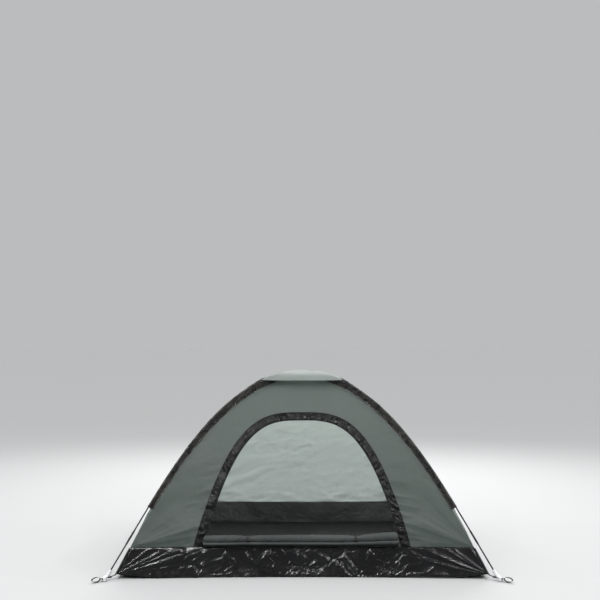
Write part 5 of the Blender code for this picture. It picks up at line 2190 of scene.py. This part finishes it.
@dataclass
class Stitching:
    """Rows of lock stitches, each stitch a slim grain of thread pointed at both ends."""

    finishes: Finishes
    pitch: float = 0.0062
    length: float = 0.0042
    width: float = 0.0009
    height: float = 0.0006

    def row(self, skin: Skin, line: Array, away: Array) -> None:
        """Adds stitches along a line, raised in the direction away from the cloth."""
        lengths = path_lengths(line)
        places = np.arange(self.pitch / 2, lengths[-1], self.pitch)
        centre, outward = (
            np.stack([np.interp(places, lengths, grid[:, k]) for k in range(3)], 1)
            for grid in (line, away)
        )
        outward = unit(outward)
        along = unit(np.gradient(centre, axis=0))
        beside = np.cross(outward, along)
        shape = ((-1, 0, 0), (0, 1, 0), (0, 0, 1), (0, -1, 0), (0, 0, -1), (1, 0, 0))
        axes = (self.length / 2 * along, self.width / 2 * beside, self.height * outward)
        corners = [centre + sum(part * axis for part, axis in zip(spot, axes)) for spot in shape]
        faces = [(0, k, k % 4 + 1) for k in range(1, 5)] + [(5, k % 4 + 1, k) for k in range(1, 5)]
        skin.copies(np.stack(corners, 1), np.array(faces))

    def piece(self, name: str, lines: Sequence[Line], thread: Material) -> None:
        """Makes one piece of all the rows along these lines."""
        skin = Skin()
        for line, away in lines:
            self.row(skin, line, away)
        made = skin.finish(name, [thread])

    def seam_lines(self, walls: Walls, below: float = 0.006) -> list[Line]:
        """Lines along the tub's seam, a little below it, round all four sides."""
        lines = []
        for side in Side:
            half = FORM.half_width(side, FORM.ridge.at(FORM.seam)[0]) - 0.004
            x = np.linspace(-half, half, 400)
            line = walls.surface(side, x, np.array(-below), np.array(0.0014))
            away = line - walls.surface(side, x, np.array(-below), np.array(0.0))
            lines.append((line, away))
        return lines

    def door_lines(self, doorway: Doorway) -> list[Line]:
        """Lines along the trim's outer and inner edges."""
        lines = [doorway.trim_line(share) for share in (0.07, 0.93)]
        return [(line, np.broadcast_to([0.0, -0.9, 0.4], line.shape)) for line in lines]


# Studio


@dataclass(frozen=True)
class Lamp:
    """A rectangular light: where it hangs, what it looks at, its size and its power in watts."""

    name: str
    place: tuple[float, float, float]
    target: tuple[float, float, float]
    size: tuple[float, float]
    watts: float

    def hang(self) -> None:
        """Puts the light into the scene."""
        data = bpy.data.lights.new(self.name, "AREA")
        data.shape = "RECTANGLE"
        data.size, data.size_y = self.size
        data.energy = self.watts
        made = bpy.data.objects.new(self.name, data)
        made.location = self.place
        aim = Vector(self.target) - Vector(self.place)
        made.rotation_euler = aim.to_track_quat("-Z", "Y").to_euler()
        bpy.context.scene.collection.objects.link(made)


@dataclass
class Studio:
    """The camera, the soft lights and the pale floor."""

    distance: float = 5.23
    height: float = 1.24
    image_size: int = 600
    pixels_per_slope: float = 835.0  # image pixels for each unit of sideways over forwards
    middle_column: float = 302.2
    horizon_row: float = 348.0
    horizon: float = 0.20
    zenith: float = 2.9
    glossy: float = 0.12
    far_haze: float = 0.96  # how bright the room is beside the far floor
    floor_seen: Colour = (158, 158, 158)
    floor_bounce: Colour = (90, 91, 92)
    room_tint: tuple[float, float, float, float] = (0.972, 0.99, 1.0, 1.0)
    boxes: tuple[Lamp, ...] = (
        Lamp("rear_box", (0.4, 3.6, 3.4), (0.0, 0.3, 0.5), (3.0, 1.6), 160.0),
        Lamp("key", (-1.2, -3.5, 4.5), (0.0, 0.0, 0.2), (0.55, 0.55), 105.0),
        Lamp("high_lamp", (2.6, -0.9, 3.7), (0.9, -0.7, 0.0), (0.26, 0.20), 28.0),
    )
    ring_lamps: int = 6
    ring_radius: float = 4.6
    ring_height: float = 3.1

    def build(self) -> None:
        """Makes everything round the tent."""
        self.build_camera()
        self.build_floor()
        self.build_lights()
        bpy.context.scene.view_settings.view_transform = "Standard"

    def build_camera(self) -> None:
        """Places the camera level in front of the door, with the frame shifted as photographed."""
        data = bpy.data.cameras.new("camera")
        data.sensor_width = 36.0
        data.lens = self.pixels_per_slope / self.image_size * data.sensor_width
        data.shift_x = (self.image_size / 2 - self.middle_column) / self.image_size
        data.shift_y = (self.horizon_row - self.image_size / 2) / self.image_size
        camera = bpy.data.objects.new("camera", data)
        camera.location = (0.0, -self.distance, self.height)
        camera.rotation_euler = (math.pi / 2, 0.0, 0.0)
        bpy.context.scene.collection.objects.link(camera)
        bpy.context.scene.camera = camera

    def build_floor(self) -> None:
        """Lays a wide pale disc under the tent, which sends back less light than the camera sees."""
        turn = np.linspace(0, 2 * math.pi, 97)
        radius = np.array([0.01, 2.0, 8.0, 40.0, 900.0])[:, None]
        flat = np.zeros((len(radius), len(turn)))
        points = np.stack([radius * np.cos(turn), radius * np.sin(turn), flat], -1)
        skin = Skin()
        skin.grid(points, points[..., :2], wrap=True)
        skin.cap(points[0, :-1])
        made, nodes, shader = new_finish("pale_floor", 0.95)
        shader.inputs["Specular IOR Level"].default_value = 0.1
        seen = nodes.add("ShaderNodeLightPath").outputs["Is Camera Ray"]
        tones = (linear(self.floor_bounce), linear(self.floor_seen))
        nodes.put(shader.inputs["Base Color"], nodes.mix(seen, *tones))
        floor = skin.finish("studio_floor", [made])
        floor.parent = None
        del floor["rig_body"]

    def build_lights(self) -> None:
        """Hangs the soft boxes and a ring of small lamps, and sets the even light of the room.

        The room is one colour to the camera, the floor's own, and dim in reflections, as a studio
        whose walls stand far back. To matt surfaces its light grows with the square of the height
        over the horizon, as under a wide white ceiling. A level floor then gets the mean of the
        two ends.
        """
        world = bpy.data.worlds.new("room")
        world.use_nodes = True
        nodes = Nodes(world.node_tree)
        sky = nodes.add("ShaderNodeTexCoord").outputs["Generated"]
        up = nodes.add("ShaderNodeSeparateXYZ", {0: sky})
        high = nodes.math("POWER", nodes.math("MAXIMUM", up.outputs[2], 0.0), 2.0)
        light = nodes.math("MULTIPLY_ADD", high, self.zenith - self.horizon, self.horizon)
        path = nodes.add("ShaderNodeLightPath")
        strength = nodes.blend(path.outputs["Is Glossy Ray"], light, self.glossy)
        seen = (self.zenith + self.horizon) / 2 * linear(self.floor_seen)[1] * self.far_haze
        strength = nodes.blend(path.outputs["Is Camera Ray"], strength, seen)
        background = world.node_tree.nodes["Background"]
        background.inputs["Color"].default_value = self.room_tint
        nodes.put(background.inputs["Strength"], strength)
        bpy.context.scene.world = world
        for box in self.boxes:
            box.hang()
        for index in range(self.ring_lamps):
            turn = index * 2 * math.pi / self.ring_lamps
            x, y = self.ring_radius * math.cos(turn), self.ring_radius * math.sin(turn)
            Lamp(f"lamp_{index}", (x, y, self.ring_height), (0.0, 0.0, 0.1), (0.16, 0.16), 30.0).hang()


def main() -> None:
    """Builds the studio and every piece of the tent in order."""
    logging.basicConfig(level=logging.INFO, format="%(name)s: %(message)s")
    Studio().build()
    finishes = Finishes()
    walls = Walls(finishes)
    for side in Side:
        walls.build(side)
    tub = Tub(finishes)
    for side in Side:
        tub.build_side(side)
    tub.build_floor()
    roof = Roof(finishes)
    roof.build_vent()
    roof.build_cap()
    Poles(finishes).build()
    sleeves = Sleeves(finishes)
    sleeves.build()
    tapes = RidgeTapes(finishes, walls)
    tapes.build(sleeves)
    doorway = Doorway(finishes, walls)
    doorway.build()
    RolledDoor(finishes, walls).build()
    Shoes(finishes).build()
    CornerTapes(finishes).build()
    CapStraps(finishes).build()
    stitching = Stitching(finishes)
    dark, pale = finishes.thread, finishes.pale_thread
    stitching.piece("tub_seam_stitches", stitching.seam_lines(walls), dark)
    stitching.piece("door_trim_stitches", stitching.door_lines(doorway), dark)
    stitching.piece("cap_hem_stitches", roof.hem_lines, pale)
    stitching.piece("sleeve_root_stitches", sleeves.root_lines, dark)
    stitching.piece("ridge_tape_stitches", tapes.edge_lines, dark)


if __name__ == "__main__":
    main()
